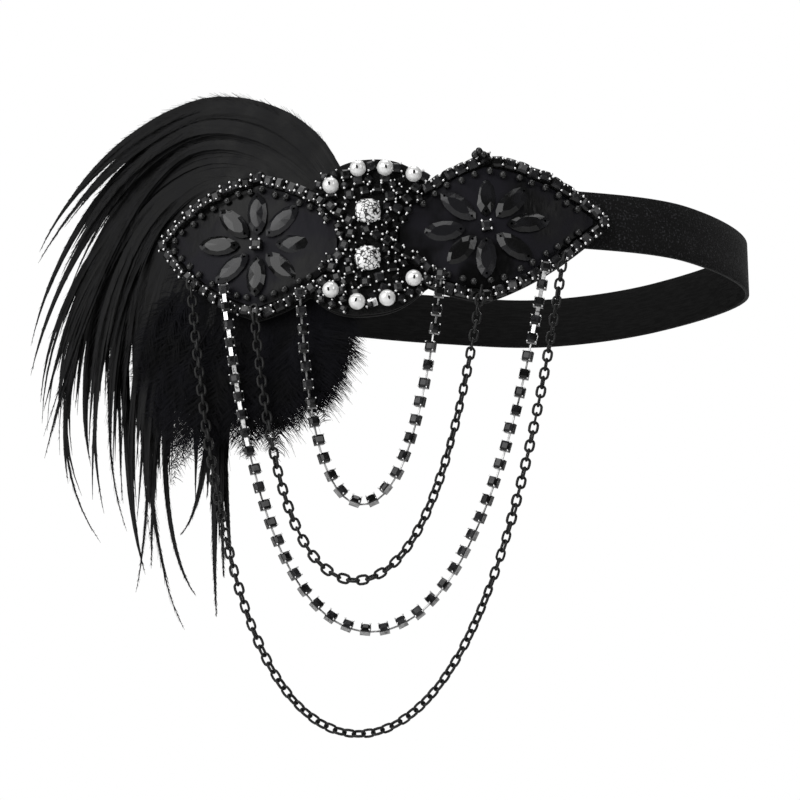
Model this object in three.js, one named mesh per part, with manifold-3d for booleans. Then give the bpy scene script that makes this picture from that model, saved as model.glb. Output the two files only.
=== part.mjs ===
// Flapper feather headband: an elastic velvet band with a stiff beaded ornament at the front,
// four hanging chains under it, and a spray of hackle feathers and marabou behind its left wing.
// Millimetres, +Z up. The origin is the centre of the band's loop at half the band's width.
// The ornament faces -Y. On it, a place is given as s (along it, to the right), v (up from its
// middle line) and h (out from its back).
import * as THREE from 'three';
import { mergeVertices } from 'three/addons/utils/BufferGeometryUtils.js';
import Module from 'manifold-3d';

const wasm = await Module();
wasm.setup();

// Driving dimensions
const CLEARANCE = 0.3;
const BAND = { loopWidth: 205, loopDepth: 138, width: 19, thickness: 1.5, stations: 72 };
const ORNAMENT = {
  placeOnLoop: 0.6985, // share of the way round the loop, from the right end over the back
  halfLength: 78,
  wingCentre: 36.6,
  wingHalfHeight: 24.3,
  fanHalfHeight: 25.6,
  fanHalfWidth: 17,
  feltThickness: 1.5,
  sag: 7.2,
  lean: 5.2,
  tipDrop: 2.2,
  tipRise: 1.2,
  leftStretch: 0.955,
  rightStretch: 1.02,
  wingSwell: 0.62, // how much fuller than a diamond a wing is
  trimReach: 1.45, // how far a trim shortens a wing, as a share of the trim
  flarePower: 2.4,
  flareDrop: 0.27, // how far the fan's edge drops at its sides, as a share of the wing's half height
  fanReach: 1.12,
};
const PANEL = { thickness: 1, rimRoom: 4.3, tipRoom: 1.2 };
const CUP = { size: 3.5, pitch: 4, height: 2, crown: 0.7 };
const TABLE_SHARE = 0.78; // of a square stone's half width
const RIM_END = { tipRoom: 0.6, tipPitch: 0.72, leftWaistRoom: 0.3, rightWaistRoom: 4.6 };
const FAN_CUP = { size: 3.05, height: 2, crown: 0.7 };
const SUNK = 0.4; // how deep the loose stones stand in their plate
const WAIST = { halfWidth: 9.2, plateThickness: 1 };
const PETAL = { length: 13.4, width: 6.3, height: 1.7, girdle: 0.5, footShare: 0.92, tableShare: 0.5 };
const FLOWER_STONE_SHARE = 0.86; // of a rim stone
const CRYSTAL = {
  diameter: 8,
  height: 3.4,
  offset: 7.7,
  plinth: 0.8,
  plinthShare: 0.42,
  ringStones: 10,
  ringRoom: 0.2,
};
const PEARL = { diameter: 5.2 };
const CHAIN_CUP = { size: 3.5, pitch: 5.8, height: 2, crown: 0.7, barWidth: 1, barHeight: 0.7 };
const CABLE = { diameter: 3.4, sides: 8, step: 8 };
const HANG = { swingToPlume: 0.03, stand: 0.85 };
const LOCK = { stations: 8, sides: 5, turn: 30, swell: 2, opening: 0.3, tipShare: 0.97, tipSharpness: 2.2 };
const PLUME = {
  room: 3.8, // space for the quills between the band and the felt
  roomStarts: -22,
  roomFull: 6,
  leavesBandAt: 59,
  rootAcross: 10,
  rootUp: -3,
  headWidth: 26,
  headHeight: 10,
  reach: 139,
  fall: 125,
  girth: 9,
  spread: 11,
  halfDepth: 3.2,
};
const TUFT = {
  rootAcross: 24,
  rootUp: -14.5,
  headWidth: 34,
  headHeight: 6,
  reach: 70,
  fall: 82,
  girth: 8.5,
  forward: 2.4,
  halfDepth: 3.6,
};

// The line that the ornament and the plume follow
const LINE = { step: 1, pastTip: 25, straightShare: 1.6, tangentSteps: 1.5 };

// Plan of the band's loop, from the right end over the back; shares of half its width and depth
const LOOP_PLAN = [
  { across: 1, back: -0.03 },
  { across: 0.746, back: 0.652 },
  { across: 0.356, back: 0.986 },
  { across: -0.034, back: 0.906 },
  { across: -0.346, back: 0.746 },
  { across: -0.659, back: 0.5 },
  { across: -1, back: -0.043 },
  { across: -0.844, back: -0.703 },
  { across: -0.415, back: -0.957 },
  { across: -0.054, back: -1 },
  { across: 0.298, back: -0.942 },
  { across: 0.727, back: -0.696 },
];

// Eight petals round a flower; turn in degrees, gap from the flower's middle as a share of a petal
const FLOWER = [
  { turn: 0, gap: 0.45 },
  { turn: 42, gap: 0.3 },
  { turn: 90, gap: 0.24 },
  { turn: 138, gap: 0.3 },
  { turn: 180, gap: 0.45 },
  { turn: 222, gap: 0.3 },
  { turn: 270, gap: 0.24 },
  { turn: 318, gap: 0.3 },
];

// Pearls around each crystal, over the upper (side 1) and under the lower (side -1);
// turn in degrees, reach as a share of the fan's half width
const PEARL_FAN = [
  { side: 1, turn: 140, reach: 0.85 },
  { side: 1, turn: 102, reach: 0.84 },
  { side: 1, turn: 71, reach: 0.85 },
  { side: 1, turn: 40, reach: 1.03 },
  { side: -1, turn: 139, reach: 0.84 },
  { side: -1, turn: 102, reach: 0.84 },
  { side: -1, turn: 68, reach: 0.85 },
  { side: -1, turn: 29, reach: 0.9 },
];

// Loose jet stones of the middle; around a crystal in degrees and shares of the fan's half width
const FAN_STONES = [
  { turn: 121, reach: 0.87 },
  { turn: 85, reach: 0.81 },
  { turn: 51, reach: 0.88 },
  { turn: 126, reach: 0.6 },
  { turn: 104, reach: 0.6 },
  { turn: 80, reach: 0.6 },
  { turn: 56, reach: 0.63 },
  { turn: 32, reach: 0.68 },
];

// The hanging chains; lengths as shares of the ornament's length, ends as shares of its half length
// and of its local half height
const CHAINS = [
  { name: 'rhinestone_chain_inner', cups: true, length: 0.981, left: [-0.27, -0.93], right: [0.29, -0.765] },
  { name: 'cable_chain_inner', cups: false, length: 1.276, left: [-0.46, -0.92], right: [0.44, -0.92] },
  { name: 'rhinestone_chain_outer', cups: true, length: 1.654, left: [-0.6, -0.72], right: [0.69, -0.87] },
  { name: 'cable_chain_outer', cups: false, length: 2.109, left: [-0.74, -0.86], right: [0.755, -0.86] },
];

// Locks of the hackle plume; tips and arches as shares of its reach and fall, depth of its spread
const HACKLES = [
  { across: 0.98, up: -0.02, arch: 0.64, depth: 0.3, girth: 1 },
  { across: 1.02, up: -0.1, arch: 0.55, depth: -0.4, girth: 0.9 },
  { across: 0.98, up: -0.27, arch: 0.52, depth: 0.7, girth: 1 },
  { across: 0.94, up: -0.33, arch: 0.44, depth: -0.8, girth: 0.9 },
  { across: 0.93, up: -0.46, arch: 0.4, depth: -0.3, girth: 0.9 },
  { across: 0.92, up: -0.58, arch: 0.35, depth: -1, girth: 1 },
  { across: 0.85, up: -0.65, arch: 0.32, depth: -0.5, girth: 0.9 },
  { across: 0.74, up: -0.81, arch: 0.28, depth: -0.9, girth: 1 },
  { across: 0.66, up: -0.79, arch: 0.26, depth: -0.5, girth: 0.9 },
  { across: 0.59, up: -0.92, arch: 0.22, depth: -1, girth: 1 },
  { across: 0.5, up: -1.08, arch: 0.18, depth: -0.7, girth: 1 },
  { across: 0.43, up: -0.96, arch: 0.14, depth: -1, girth: 0.9 },
  { across: 0.37, up: -1, arch: 0.1, depth: -0.7, girth: 0.9 },
];

// Locks of the marabou tuft; tips as shares of its reach and fall
const MARABOU = [
  { across: 0.05, up: -0.55, girth: 0.9 },
  { across: 0.13, up: -0.7, girth: 1 },
  { across: 0.26, up: -0.78, girth: 1 },
  { across: 0.38, up: -0.86, girth: 1 },
  { across: 0.52, up: -0.92, girth: 1 },
  { across: 0.68, up: -0.9, girth: 1 },
  { across: 0.84, up: -0.96, girth: 0.9 },
  { across: 1, up: -0.98, girth: 0.8 },
];

const MATERIALS = {
  velvet: new THREE.MeshStandardMaterial({ color: 0x101012, roughness: 0.95, metalness: 0 }),
  felt: new THREE.MeshStandardMaterial({ color: 0x0e0e10, roughness: 0.95, metalness: 0 }),
  satin: new THREE.MeshStandardMaterial({ color: 0x24242a, roughness: 0.5, metalness: 0 }),
  jet: new THREE.MeshStandardMaterial({ color: 0x1c1c20, roughness: 0.15, metalness: 0.3 }),
  petal: new THREE.MeshStandardMaterial({ color: 0x3a3a3e, roughness: 0.2, metalness: 0 }),
  crystal: new THREE.MeshStandardMaterial({ color: 0xe8eaee, roughness: 0.05, metalness: 0 }),
  pearl: new THREE.MeshStandardMaterial({ color: 0xf2f0ec, roughness: 0.25, metalness: 0 }),
  gunmetal: new THREE.MeshStandardMaterial({ color: 0x18181a, roughness: 0.35, metalness: 0.9 }),
  hackle: new THREE.MeshStandardMaterial({ color: 0x121214, roughness: 0.6, metalness: 0 }),
  marabou: new THREE.MeshStandardMaterial({ color: 0x141417, roughness: 0.9, metalness: 0 }),
};

const headband = new THREE.Group();

// Meshes and solids

function meshFrom(points, faces) {
  const geometry = new THREE.BufferGeometry();
  const positions = new Float32Array(points.length * 3);
  points.forEach((point, index) => point.toArray(positions, index * 3));
  geometry.setAttribute('position', new THREE.BufferAttribute(positions, 3));
  geometry.setIndex(faces);
  return geometry;
}

function solidFrom(geometry) {
  const bare = geometry.clone();
  bare.deleteAttribute('normal');
  bare.deleteAttribute('uv');
  const merged = mergeVertices(bare, 1e-4);
  return new wasm.Manifold(new wasm.Mesh({
    numProp: 3,
    vertProperties: new Float32Array(merged.attributes.position.array),
    triVerts: new Uint32Array(merged.index.array),
  }));
}

function geometryFrom(solid) {
  const mesh = solid.getMesh();
  const geometry = new THREE.BufferGeometry();
  geometry.setAttribute('position', new THREE.BufferAttribute(mesh.vertProperties, 3));
  geometry.setIndex(Array.from(mesh.triVerts));
  return geometry;
}

function joined(geometries) {
  let whole = solidFrom(geometries[0]);
  for (const geometry of geometries.slice(1)) whole = whole.add(solidFrom(geometry));
  return geometryFrom(whole);
}

function addPiece(name, geometry, material) {
  const shown = geometry.clone();
  shown.computeVertexNormals();
  const mesh = new THREE.Mesh(shown, material);
  mesh.name = name;
  headband.add(mesh);
}

function quad(faces, a, b, c, d) {
  faces.push(a, b, c, a, c, d);
}

// Plan lines

const halfLoop = { across: BAND.loopWidth / 2, back: BAND.loopDepth / 2 };
const loopCurve = new THREE.CatmullRomCurve3(
  LOOP_PLAN.map((row) => new THREE.Vector3(row.across * halfLoop.across, row.back * halfLoop.back, 0)),
  true,
  'catmullrom',
  0.5,
);
loopCurve.arcLengthDivisions = 1440;
const loopLength = loopCurve.getLength();

function outwardOf(tangent) {
  return new THREE.Vector3(tangent.y, -tangent.x, 0).normalize();
}

// A point of the band's middle surface at distance s from the ornament's middle
function bandPoint(s, out = 0) {
  const share = ORNAMENT.placeOnLoop + s / loopLength;
  const wrapped = share - Math.floor(share);
  const point = loopCurve.getPointAt(wrapped);
  return point.addScaledVector(outwardOf(loopCurve.getTangentAt(wrapped)), out);
}

function smoothstep(low, high, value) {
  const t = THREE.MathUtils.clamp((value - low) / (high - low), 0, 1);
  return t * t * (3 - 2 * t);
}

// A line that follows the band at a stand-off, then leaves it on the left, with distances along it
class FollowingLine {
  constructor(standOff) {
    const { step } = LINE;
    const rightEnd = Math.ceil((ORNAMENT.halfLength + LINE.pastTip) / step) * step;
    const straight = PLUME.reach * LINE.straightShare;
    this.points = [];
    for (let s = rightEnd; s >= -PLUME.leavesBandAt; s -= step) this.points.push(bandPoint(s, standOff(s)));
    const last = this.points[this.points.length - 1];
    const heading = last.clone().sub(this.points[this.points.length - 2]).normalize();
    for (let run = step; run <= straight; run += step) {
      this.points.push(last.clone().addScaledVector(heading, run));
    }
    this.distances = [0];
    for (let i = 1; i < this.points.length; i += 1) {
      this.distances.push(this.distances[i - 1] + this.points[i].distanceTo(this.points[i - 1]));
    }
    const start = this.distances[Math.round(rightEnd / step)];
    this.distances = this.distances.map((distance) => start - distance);
  }

  // The point at s, with s growing to the right
  plain(s) {
    let low = 0;
    let high = this.distances.length - 1;
    while (high - low > 1) {
      const middle = (low + high) >> 1;
      if (this.distances[middle] > s) low = middle;
      else high = middle;
    }
    const t = (this.distances[low] - s) / (this.distances[low] - this.distances[high]);
    return this.points[low].clone().lerp(this.points[high], t);
  }

  at(s, out, z) {
    const reach = LINE.step * LINE.tangentSteps;
    const tangent = this.plain(s + reach).sub(this.plain(s - reach));
    const point = this.plain(s).addScaledVector(outwardOf(tangent), out);
    point.z = z;
    return point;
  }
}

const bandFace = BAND.thickness / 2 + CLEARANCE;
const ornamentLine = new FollowingLine((s) => {
  return bandFace + PLUME.room * smoothstep(PLUME.roomStarts, PLUME.roomFull, -s);
});
const plumeLine = new FollowingLine(() => bandFace + (PLUME.room - CLEARANCE) / 2);

// The ornament's outline

function middleHeight(s) {
  const t = s / ORNAMENT.halfLength;
  return (1 - t * t) * (ORNAMENT.lean * t - ORNAMENT.sag) - ORNAMENT.tipDrop + ORNAMENT.tipRise * t;
}

const wingHalfLength = ORNAMENT.halfLength - ORNAMENT.wingCentre;

// Half height of a pointed wing with a slight peak; trim shrinks it for the rows inside it
function wingHeight(s, trim = 0) {
  const halfLength = wingHalfLength - trim * ORNAMENT.trimReach;
  const u = Math.min(Math.abs(Math.abs(s) - ORNAMENT.wingCentre) / halfLength, 1);
  return (ORNAMENT.wingHalfHeight - trim) * (1 - u) * (1 + ORNAMENT.wingSwell * u);
}

function fanHeight(s) {
  const flare = Math.pow(Math.abs(s) / ORNAMENT.fanHalfWidth, ORNAMENT.flarePower);
  return ORNAMENT.fanHalfHeight - ORNAMENT.wingHalfHeight * ORNAMENT.flareDrop * flare;
}

function outlineHeight(s) {
  const isFan = Math.abs(s) < ORNAMENT.fanHalfWidth * ORNAMENT.fanReach;
  return isFan ? Math.max(fanHeight(s), wingHeight(s)) : wingHeight(s);
}

function onOrnament(s, v, h) {
  const stretch = s < 0 ? ORNAMENT.leftStretch : ORNAMENT.rightStretch;
  return ornamentLine.at(s * stretch, h, middleHeight(s) + v);
}

const level = {};
level.feltTop = ORNAMENT.feltThickness;
level.seat = level.feltTop + CLEARANCE;
level.panelTop = level.seat + PANEL.thickness;
level.petal = level.panelTop + CLEARANCE;
level.girdle = level.seat + CUP.height;
level.table = level.girdle + CUP.crown;
level.plateTop = level.seat + WAIST.plateThickness;

// A slab of cells between stations along s and rows along v, bent with the ornament
function slab(stations, rowsAt, isCell, low, high) {
  const rowCount = rowsAt(stations[0]).length;
  const points = [];
  const indexOf = new Map();
  const vertex = (i, j, top) => {
    const key = `${i} ${j} ${top}`;
    if (!indexOf.has(key)) {
      indexOf.set(key, points.length);
      points.push(onOrnament(stations[i], rowsAt(stations[i])[j], top ? high : low));
    }
    return indexOf.get(key);
  };
  const cell = (i, j) => i >= 0 && j >= 0 && i < stations.length - 1 && j < rowCount - 1 && isCell(i, j);
  const faces = [];
  const wall = (i0, j0, i1, j1) => {
    quad(faces, vertex(i0, j0, 0), vertex(i1, j1, 0), vertex(i1, j1, 1), vertex(i0, j0, 1));
  };
  for (let i = 0; i < stations.length - 1; i += 1) {
    for (let j = 0; j < rowCount - 1; j += 1) {
      if (!cell(i, j)) continue;
      quad(faces, vertex(i, j, 1), vertex(i + 1, j, 1), vertex(i + 1, j + 1, 1), vertex(i, j + 1, 1));
      quad(faces, vertex(i, j, 0), vertex(i, j + 1, 0), vertex(i + 1, j + 1, 0), vertex(i + 1, j, 0));
      if (!cell(i, j - 1)) wall(i, j, i + 1, j);
      if (!cell(i, j + 1)) wall(i + 1, j + 1, i, j + 1);
      if (!cell(i - 1, j)) wall(i, j + 1, i, j);
      if (!cell(i + 1, j)) wall(i + 1, j, i + 1, j + 1);
    }
  }
  return meshFrom(points, faces);
}

function range(start, end, count) {
  return Array.from({ length: count }, (unused, index) => start + ((end - start) * index) / (count - 1));
}

// Stones

// A place on the ornament with the row's direction there; a turn in degrees
function ornamentFrame(s, v, turn, h) {
  const angle = THREE.MathUtils.degToRad(turn);
  return (along, across, out) => onOrnament(
    s + along * Math.cos(angle) - across * Math.sin(angle),
    v + along * Math.sin(angle) + across * Math.cos(angle),
    h + out,
  );
}

const CORNERS = [[-1, -1], [1, -1], [1, 1], [-1, 1]];

// Points of one square stone in its cup: four of the foot, four of the girdle, four of the table
function stonePoints(frame, cup) {
  const half = cup.size / 2;
  const points = [];
  for (const [along, across] of CORNERS) points.push(frame(along * half, across * half, 0));
  for (const [along, across] of CORNERS) points.push(frame(along * half, across * half, cup.height));
  const tableReach = half * TABLE_SHARE;
  const sides = [[0, -1], [1, 0], [0, 1], [-1, 0]];
  for (const [along, across] of sides) {
    points.push(frame(along * tableReach, across * tableReach, cup.height + cup.crown));
  }
  return points;
}

// Eight crown facets and the table of a stone whose points start at base
function crownFaces(faces, base) {
  for (let k = 0; k < 4; k += 1) {
    const next = (k + 1) % 4;
    faces.push(base + 4 + k, base + 4 + next, base + 8 + k);
    faces.push(base + 4 + next, base + 8 + next, base + 8 + k);
  }
  quad(faces, ...CORNERS.map((corner, k) => base + 2 * CORNERS.length + k));
}

function looseStone(frame, cup) {
  const points = stonePoints(frame, cup);
  const faces = [];
  quad(faces, 3, 2, 1, 0);
  for (let k = 0; k < 4; k += 1) quad(faces, k, (k + 1) % 4, 4 + ((k + 1) % 4), 4 + k);
  crownFaces(faces, 0);
  return meshFrom(points, faces);
}

// One body for a row of stones: cup walls are bridged to the next cup, straight or by a thin bar
function stoneRow(frames, cup) {
  const points = [];
  const faces = [];
  const bases = [];
  const hasBar = cup.barWidth !== undefined;
  for (const frame of frames) {
    bases.push(points.length);
    points.push(...stonePoints(frame, cup));
    if (hasBar) {
      const halfWidth = cup.barWidth / 2;
      const low = (cup.height - cup.barHeight) / 2;
      const high = low + cup.barHeight;
      for (const end of [1, -1]) {
        const along = (end * cup.size) / 2;
        points.push(frame(along, -halfWidth, low));
        points.push(frame(along, halfWidth, low));
        points.push(frame(along, halfWidth, high));
        points.push(frame(along, -halfWidth, high));
      }
    }
  }
  bases.forEach((base, index) => {
    quad(faces, base + 3, base + 2, base + 1, base);
    quad(faces, base, base + 1, base + 5, base + 4);
    quad(faces, base + 2, base + 3, base + 7, base + 6);
    crownFaces(faces, base);
    const ahead = [base + 1, base + 2, base + 6, base + 5];
    const behind = [base, base + 3, base + 7, base + 4];
    if (index === 0) quad(faces, base + 3, base, base + 4, base + 7);
    if (index === bases.length - 1) {
      quad(faces, ...ahead);
      return;
    }
    const next = bases[index + 1];
    const facing = behind.map((corner) => corner - base + next);
    if (hasBar) {
      const bar = [12, 13, 14, 15].map((offset) => base + offset);
      const nextBar = [16, 17, 18, 19].map((offset) => next + offset);
      for (let k = 0; k < 4; k += 1) {
        const k1 = (k + 1) % 4;
        quad(faces, ahead[k], ahead[k1], bar[k1], bar[k]);
        quad(faces, bar[k], bar[k1], nextBar[k1], nextBar[k]);
        quad(faces, nextBar[k], nextBar[k1], facing[k1], facing[k]);
      }
    } else {
      for (let k = 0; k < 4; k += 1) {
        const k1 = (k + 1) % 4;
        quad(faces, ahead[k], ahead[k1], facing[k1], facing[k]);
      }
    }
  });
  return outwardFacing(points, faces);
}

function signedVolume(points, faces) {
  let volume = 0;
  for (let i = 0; i < faces.length; i += 3) {
    const [a, b, c] = [points[faces[i]], points[faces[i + 1]], points[faces[i + 2]]];
    volume += a.dot(b.clone().cross(c)) / 6;
  }
  return volume;
}

function outwardFacing(points, faces) {
  if (signedVolume(points, faces) < 0) {
    for (let i = 0; i < faces.length; i += 3) [faces[i], faces[i + 1]] = [faces[i + 1], faces[i]];
  }
  return meshFrom(points, faces);
}

// A prism-like solid through rings of equal point counts, closed by flat ends
function lofted(rings) {
  const count = rings[0].length;
  const points = rings.flat();
  const faces = [];
  for (let ring = 0; ring < rings.length - 1; ring += 1) {
    for (let k = 0; k < count; k += 1) {
      const k1 = (k + 1) % count;
      quad(faces, ring * count + k, ring * count + k1, (ring + 1) * count + k1, (ring + 1) * count + k);
    }
  }
  const last = (rings.length - 1) * count;
  for (let k = 1; k < count - 1; k += 1) {
    faces.push(0, k + 1, k);
    faces.push(last, last + k, last + k + 1);
  }
  return outwardFacing(points, faces);
}

// The band

function makeBand() {
  const corners = [
    { out: 0.5, up: -0.46 },
    { out: 0.5, up: 0.46 },
    { out: 0, up: 0.5 },
    { out: -0.5, up: 0.46 },
    { out: -0.5, up: -0.46 },
    { out: 0, up: -0.5 },
  ];
  const points = [];
  const faces = [];
  for (let i = 0; i < BAND.stations; i += 1) {
    const s = (i / BAND.stations) * loopLength;
    for (const corner of corners) {
      const point = bandPoint(s, corner.out * BAND.thickness);
      point.z = corner.up * BAND.width;
      points.push(point);
    }
  }
  const count = corners.length;
  for (let i = 0; i < BAND.stations; i += 1) {
    const next = (i + 1) % BAND.stations;
    for (let k = 0; k < count; k += 1) {
      const k1 = (k + 1) % count;
      quad(faces, i * count + k, next * count + k, next * count + k1, i * count + k1);
    }
  }
  addPiece('headband', outwardFacing(points, faces), MATERIALS.velvet);
}

// Felt and satin

function makeFelt() {
  const tip = ORNAMENT.halfLength - 1;
  const kinks = [ORNAMENT.wingCentre, ORNAMENT.fanHalfWidth * (ORNAMENT.fanReach - 0.02)];
  const stations = [...range(-tip, tip, 37), ...kinks, ...kinks.map((s) => -s)].sort((a, b) => a - b);
  const rowsAt = (s) => [-outlineHeight(s), outlineHeight(s)];
  addPiece('felt_backing', slab(stations, rowsAt, () => true, 0, level.feltTop), MATERIALS.felt);
}

function makePanel(name, side) {
  const inner = WAIST.halfWidth + CLEARANCE;
  const outer = ORNAMENT.halfLength - PANEL.rimRoom * ORNAMENT.trimReach - PANEL.tipRoom;
  const stations = [...range(inner, outer, 15), ORNAMENT.wingCentre].sort((a, b) => a - b);
  const placed = stations.map((s) => side * s).sort((a, b) => a - b);
  const rowsAt = (s) => [-wingHeight(s, PANEL.rimRoom), wingHeight(s, PANEL.rimRoom)];
  addPiece(name, slab(placed, rowsAt, () => true, level.seat, level.panelTop), MATERIALS.satin);
}

// Places along one side of a wing's rim, from its peak towards an end, one pitch apart
function rimPlaces(direction, endAt) {
  const trim = CUP.size / 2 + CLEARANCE;
  const places = [];
  let walked = 0;
  let last = { s: ORNAMENT.wingCentre, v: wingHeight(ORNAMENT.wingCentre, trim) };
  const step = 0.1;
  for (let s = ORNAMENT.wingCentre; direction * (endAt - s) > 0; s += direction * step) {
    const here = { s, v: wingHeight(s, trim) };
    walked += Math.hypot(here.s - last.s, here.v - last.v);
    last = here;
    if (walked >= CUP.pitch) {
      walked -= CUP.pitch;
      const ahead = wingHeight(s + 0.5, trim) - wingHeight(s - 0.5, trim);
      places.push({ s, v: here.v, turn: THREE.MathUtils.radToDeg(Math.atan(ahead)) });
    }
  }
  return places;
}

function makeRim(name, side, waistRoom) {
  const trim = CUP.size / 2 + CLEARANCE;
  const tipAt = ORNAMENT.halfLength - trim * ORNAMENT.trimReach - RIM_END.tipRoom;
  const peak = { s: ORNAMENT.wingCentre, v: wingHeight(ORNAMENT.wingCentre, trim), turn: 0 };
  const waistAt = WAIST.halfWidth + CUP.size / 2 + CLEARANCE + waistRoom;
  const inwards = rimPlaces(-1, waistAt).reverse();
  const outwards = rimPlaces(1, tipAt - CUP.pitch * RIM_END.tipPitch);
  const upper = [...inwards, peak, ...outwards];
  const lower = upper.map((place) => ({ s: place.s, v: -place.v, turn: 180 - place.turn })).reverse();
  const row = [...upper, { s: tipAt, v: 0, turn: -90 }, ...lower];
  const frames = row.map((place) => {
    const turn = side > 0 ? place.turn : 180 - place.turn;
    return ornamentFrame(side * place.s, place.v, turn, level.seat);
  });
  addPiece(name, stoneRow(frames, CUP), MATERIALS.jet);
}

// The middle

function crystalRing() {
  const radius = CRYSTAL.diameter / 2 + CLEARANCE + CUP.size / 2 + CRYSTAL.ringRoom;
  const count = CRYSTAL.ringStones;
  return Array.from({ length: count }, (unused, k) => ({ turn: 90 + ((k + 0.5) * 360) / count, radius }));
}

// A place of the middle, in turns around the upper (side 1) or the lower (side -1) crystal
function aroundCrystal(side, turn, radius) {
  const angle = THREE.MathUtils.degToRad(turn);
  return { s: radius * Math.cos(angle), v: side * (CRYSTAL.offset + radius * Math.sin(angle)) };
}

const pearlPlaces = PEARL_FAN.map((row) => {
  return aroundCrystal(row.side, row.turn, row.reach * ORNAMENT.fanHalfWidth);
});

function meetsPearl(place) {
  const room = (PEARL.diameter + FAN_CUP.size * 1.1) / 2 + CLEARANCE;
  return pearlPlaces.some((pearl) => Math.hypot(pearl.s - place.s, pearl.v - place.v) < room);
}

function makeMiddle() {
  const edge = ORNAMENT.fanHalfWidth;
  const stations = [
    ...range(-edge, -WAIST.halfWidth, 4),
    ...range(-WAIST.halfWidth, WAIST.halfWidth, 6).slice(1, -1),
    ...range(WAIST.halfWidth, edge, 4),
  ];
  const waistStart = 3;
  const waistEnd = stations.length - 4;
  const rowsAt = (s) => {
    const inner = Math.min(wingHeight(s) + CLEARANCE, fanHeight(s) - 1);
    return [-fanHeight(s) + CLEARANCE, -inner, inner, fanHeight(s) - CLEARANCE];
  };
  const isCell = (i, j) => j !== 1 || (i >= waistStart && i < waistEnd);
  const pieces = [slab(stations, rowsAt, isCell, level.seat, level.plateTop)];
  const cup = { ...CUP, height: CUP.height + SUNK };
  const fanCup = { ...FAN_CUP, height: FAN_CUP.height + SUNK };
  const foot = level.plateTop - SUNK;
  for (const side of [1, -1]) {
    const centre = side * CRYSTAL.offset;
    const plinth = (out) => range(0, 315, 8).map((turn) => {
      const angle = THREE.MathUtils.degToRad(turn);
      const radius = CRYSTAL.diameter * CRYSTAL.plinthShare;
      return onOrnament(radius * Math.cos(angle), centre + radius * Math.sin(angle), out);
    });
    pieces.push(lofted([plinth(foot), plinth(level.plateTop + CRYSTAL.plinth)]));
    for (const stone of crystalRing()) {
      const { s, v } = aroundCrystal(side, stone.turn, stone.radius);
      const isTaken = side < 0 && v > -CUP.size / 2;
      if (!isTaken) pieces.push(looseStone(ornamentFrame(s, v, side * stone.turn, foot), cup));
    }
    for (const stone of FAN_STONES) {
      const place = aroundCrystal(side, stone.turn, stone.reach * ORNAMENT.fanHalfWidth);
      if (meetsPearl(place)) continue;
      pieces.push(looseStone(ornamentFrame(place.s, place.v, side * stone.turn, foot), fanCup));
    }
  }
  addPiece('centre_stones', joined(pieces), MATERIALS.jet);
}

// A round clear stone: a foot ring, the girdle, sixteen crown facets and a flat table
function makeCrystal(name, v) {
  const foot = level.plateTop + CRYSTAL.plinth + CLEARANCE;
  const rings = [
    { out: 0, radius: 0.3 },
    { out: 0.55, radius: 1 },
    { out: 0.63, radius: 1 },
    { out: 1, radius: 0.56 },
  ];
  const sides = 16;
  addPiece(name, lofted(rings.map((ring) => range(0, 360 - 360 / sides, sides).map((turn) => {
    const angle = THREE.MathUtils.degToRad(turn);
    const radius = (ring.radius * CRYSTAL.diameter) / 2;
    const out = foot + ring.out * CRYSTAL.height;
    return onOrnament(radius * Math.cos(angle), v + radius * Math.sin(angle), out);
  }))), MATERIALS.crystal);
}

function makePearls() {
  const seat = level.plateTop + CLEARANCE + PEARL.diameter / 2;
  pearlPlaces.forEach((place, index) => {
    const ball = new THREE.SphereGeometry(PEARL.diameter / 2, 12, 6);
    ball.deleteAttribute('normal');
    ball.deleteAttribute('uv');
    const centre = onOrnament(place.s, place.v, seat);
    const placed = mergeVertices(ball, 1e-4).translate(centre.x, centre.y, centre.z);
    addPiece(`pearl_${index + 1}`, placed, MATERIALS.pearl);
  });
}

// The flowers

// A navette stone: a pointed oval foot and girdle, eight crown facets and a table
function makePetal(name, s, v, turn) {
  const frame = ornamentFrame(s, v, turn, level.petal);
  const outline = [
    { along: 0, across: 0 },
    { along: 0.2, across: -0.36 },
    { along: 0.5, across: -0.5 },
    { along: 0.8, across: -0.36 },
    { along: 1, across: 0 },
    { along: 0.8, across: 0.36 },
    { along: 0.5, across: 0.5 },
    { along: 0.2, across: 0.36 },
  ];
  const ring = (shrink, out) => outline.map((point) => frame(
    (0.5 + (point.along - 0.5) * shrink) * PETAL.length,
    point.across * shrink * PETAL.width,
    out,
  ));
  const rings = [ring(PETAL.footShare, 0), ring(1, PETAL.girdle), ring(PETAL.tableShare, PETAL.height)];
  addPiece(name, lofted(rings), MATERIALS.petal);
}

function makeFlower(prefix, side) {
  const centre = side * ORNAMENT.wingCentre;
  FLOWER.forEach((petal, index) => {
    const angle = THREE.MathUtils.degToRad(petal.turn);
    const gap = petal.gap * PETAL.length;
    makePetal(
      `${prefix}_petal_${index + 1}`,
      centre + gap * Math.cos(angle),
      gap * Math.sin(angle),
      petal.turn,
    );
  });
  const stone = { ...CUP, size: CUP.size * FLOWER_STONE_SHARE };
  addPiece(
    `${prefix}_flower_stone`,
    looseStone(ornamentFrame(centre, 0, 0, level.petal), stone),
    MATERIALS.jet,
  );
}

// The hanging chains

// Solves a growing function by halving
function solve(valueAt, low, high) {
  let [from, to] = [low, high];
  for (let i = 0; i < 80; i += 1) {
    const middle = (from + to) / 2;
    if (valueAt(middle) > 0) to = middle;
    else from = middle;
  }
  return (from + to) / 2;
}

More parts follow.
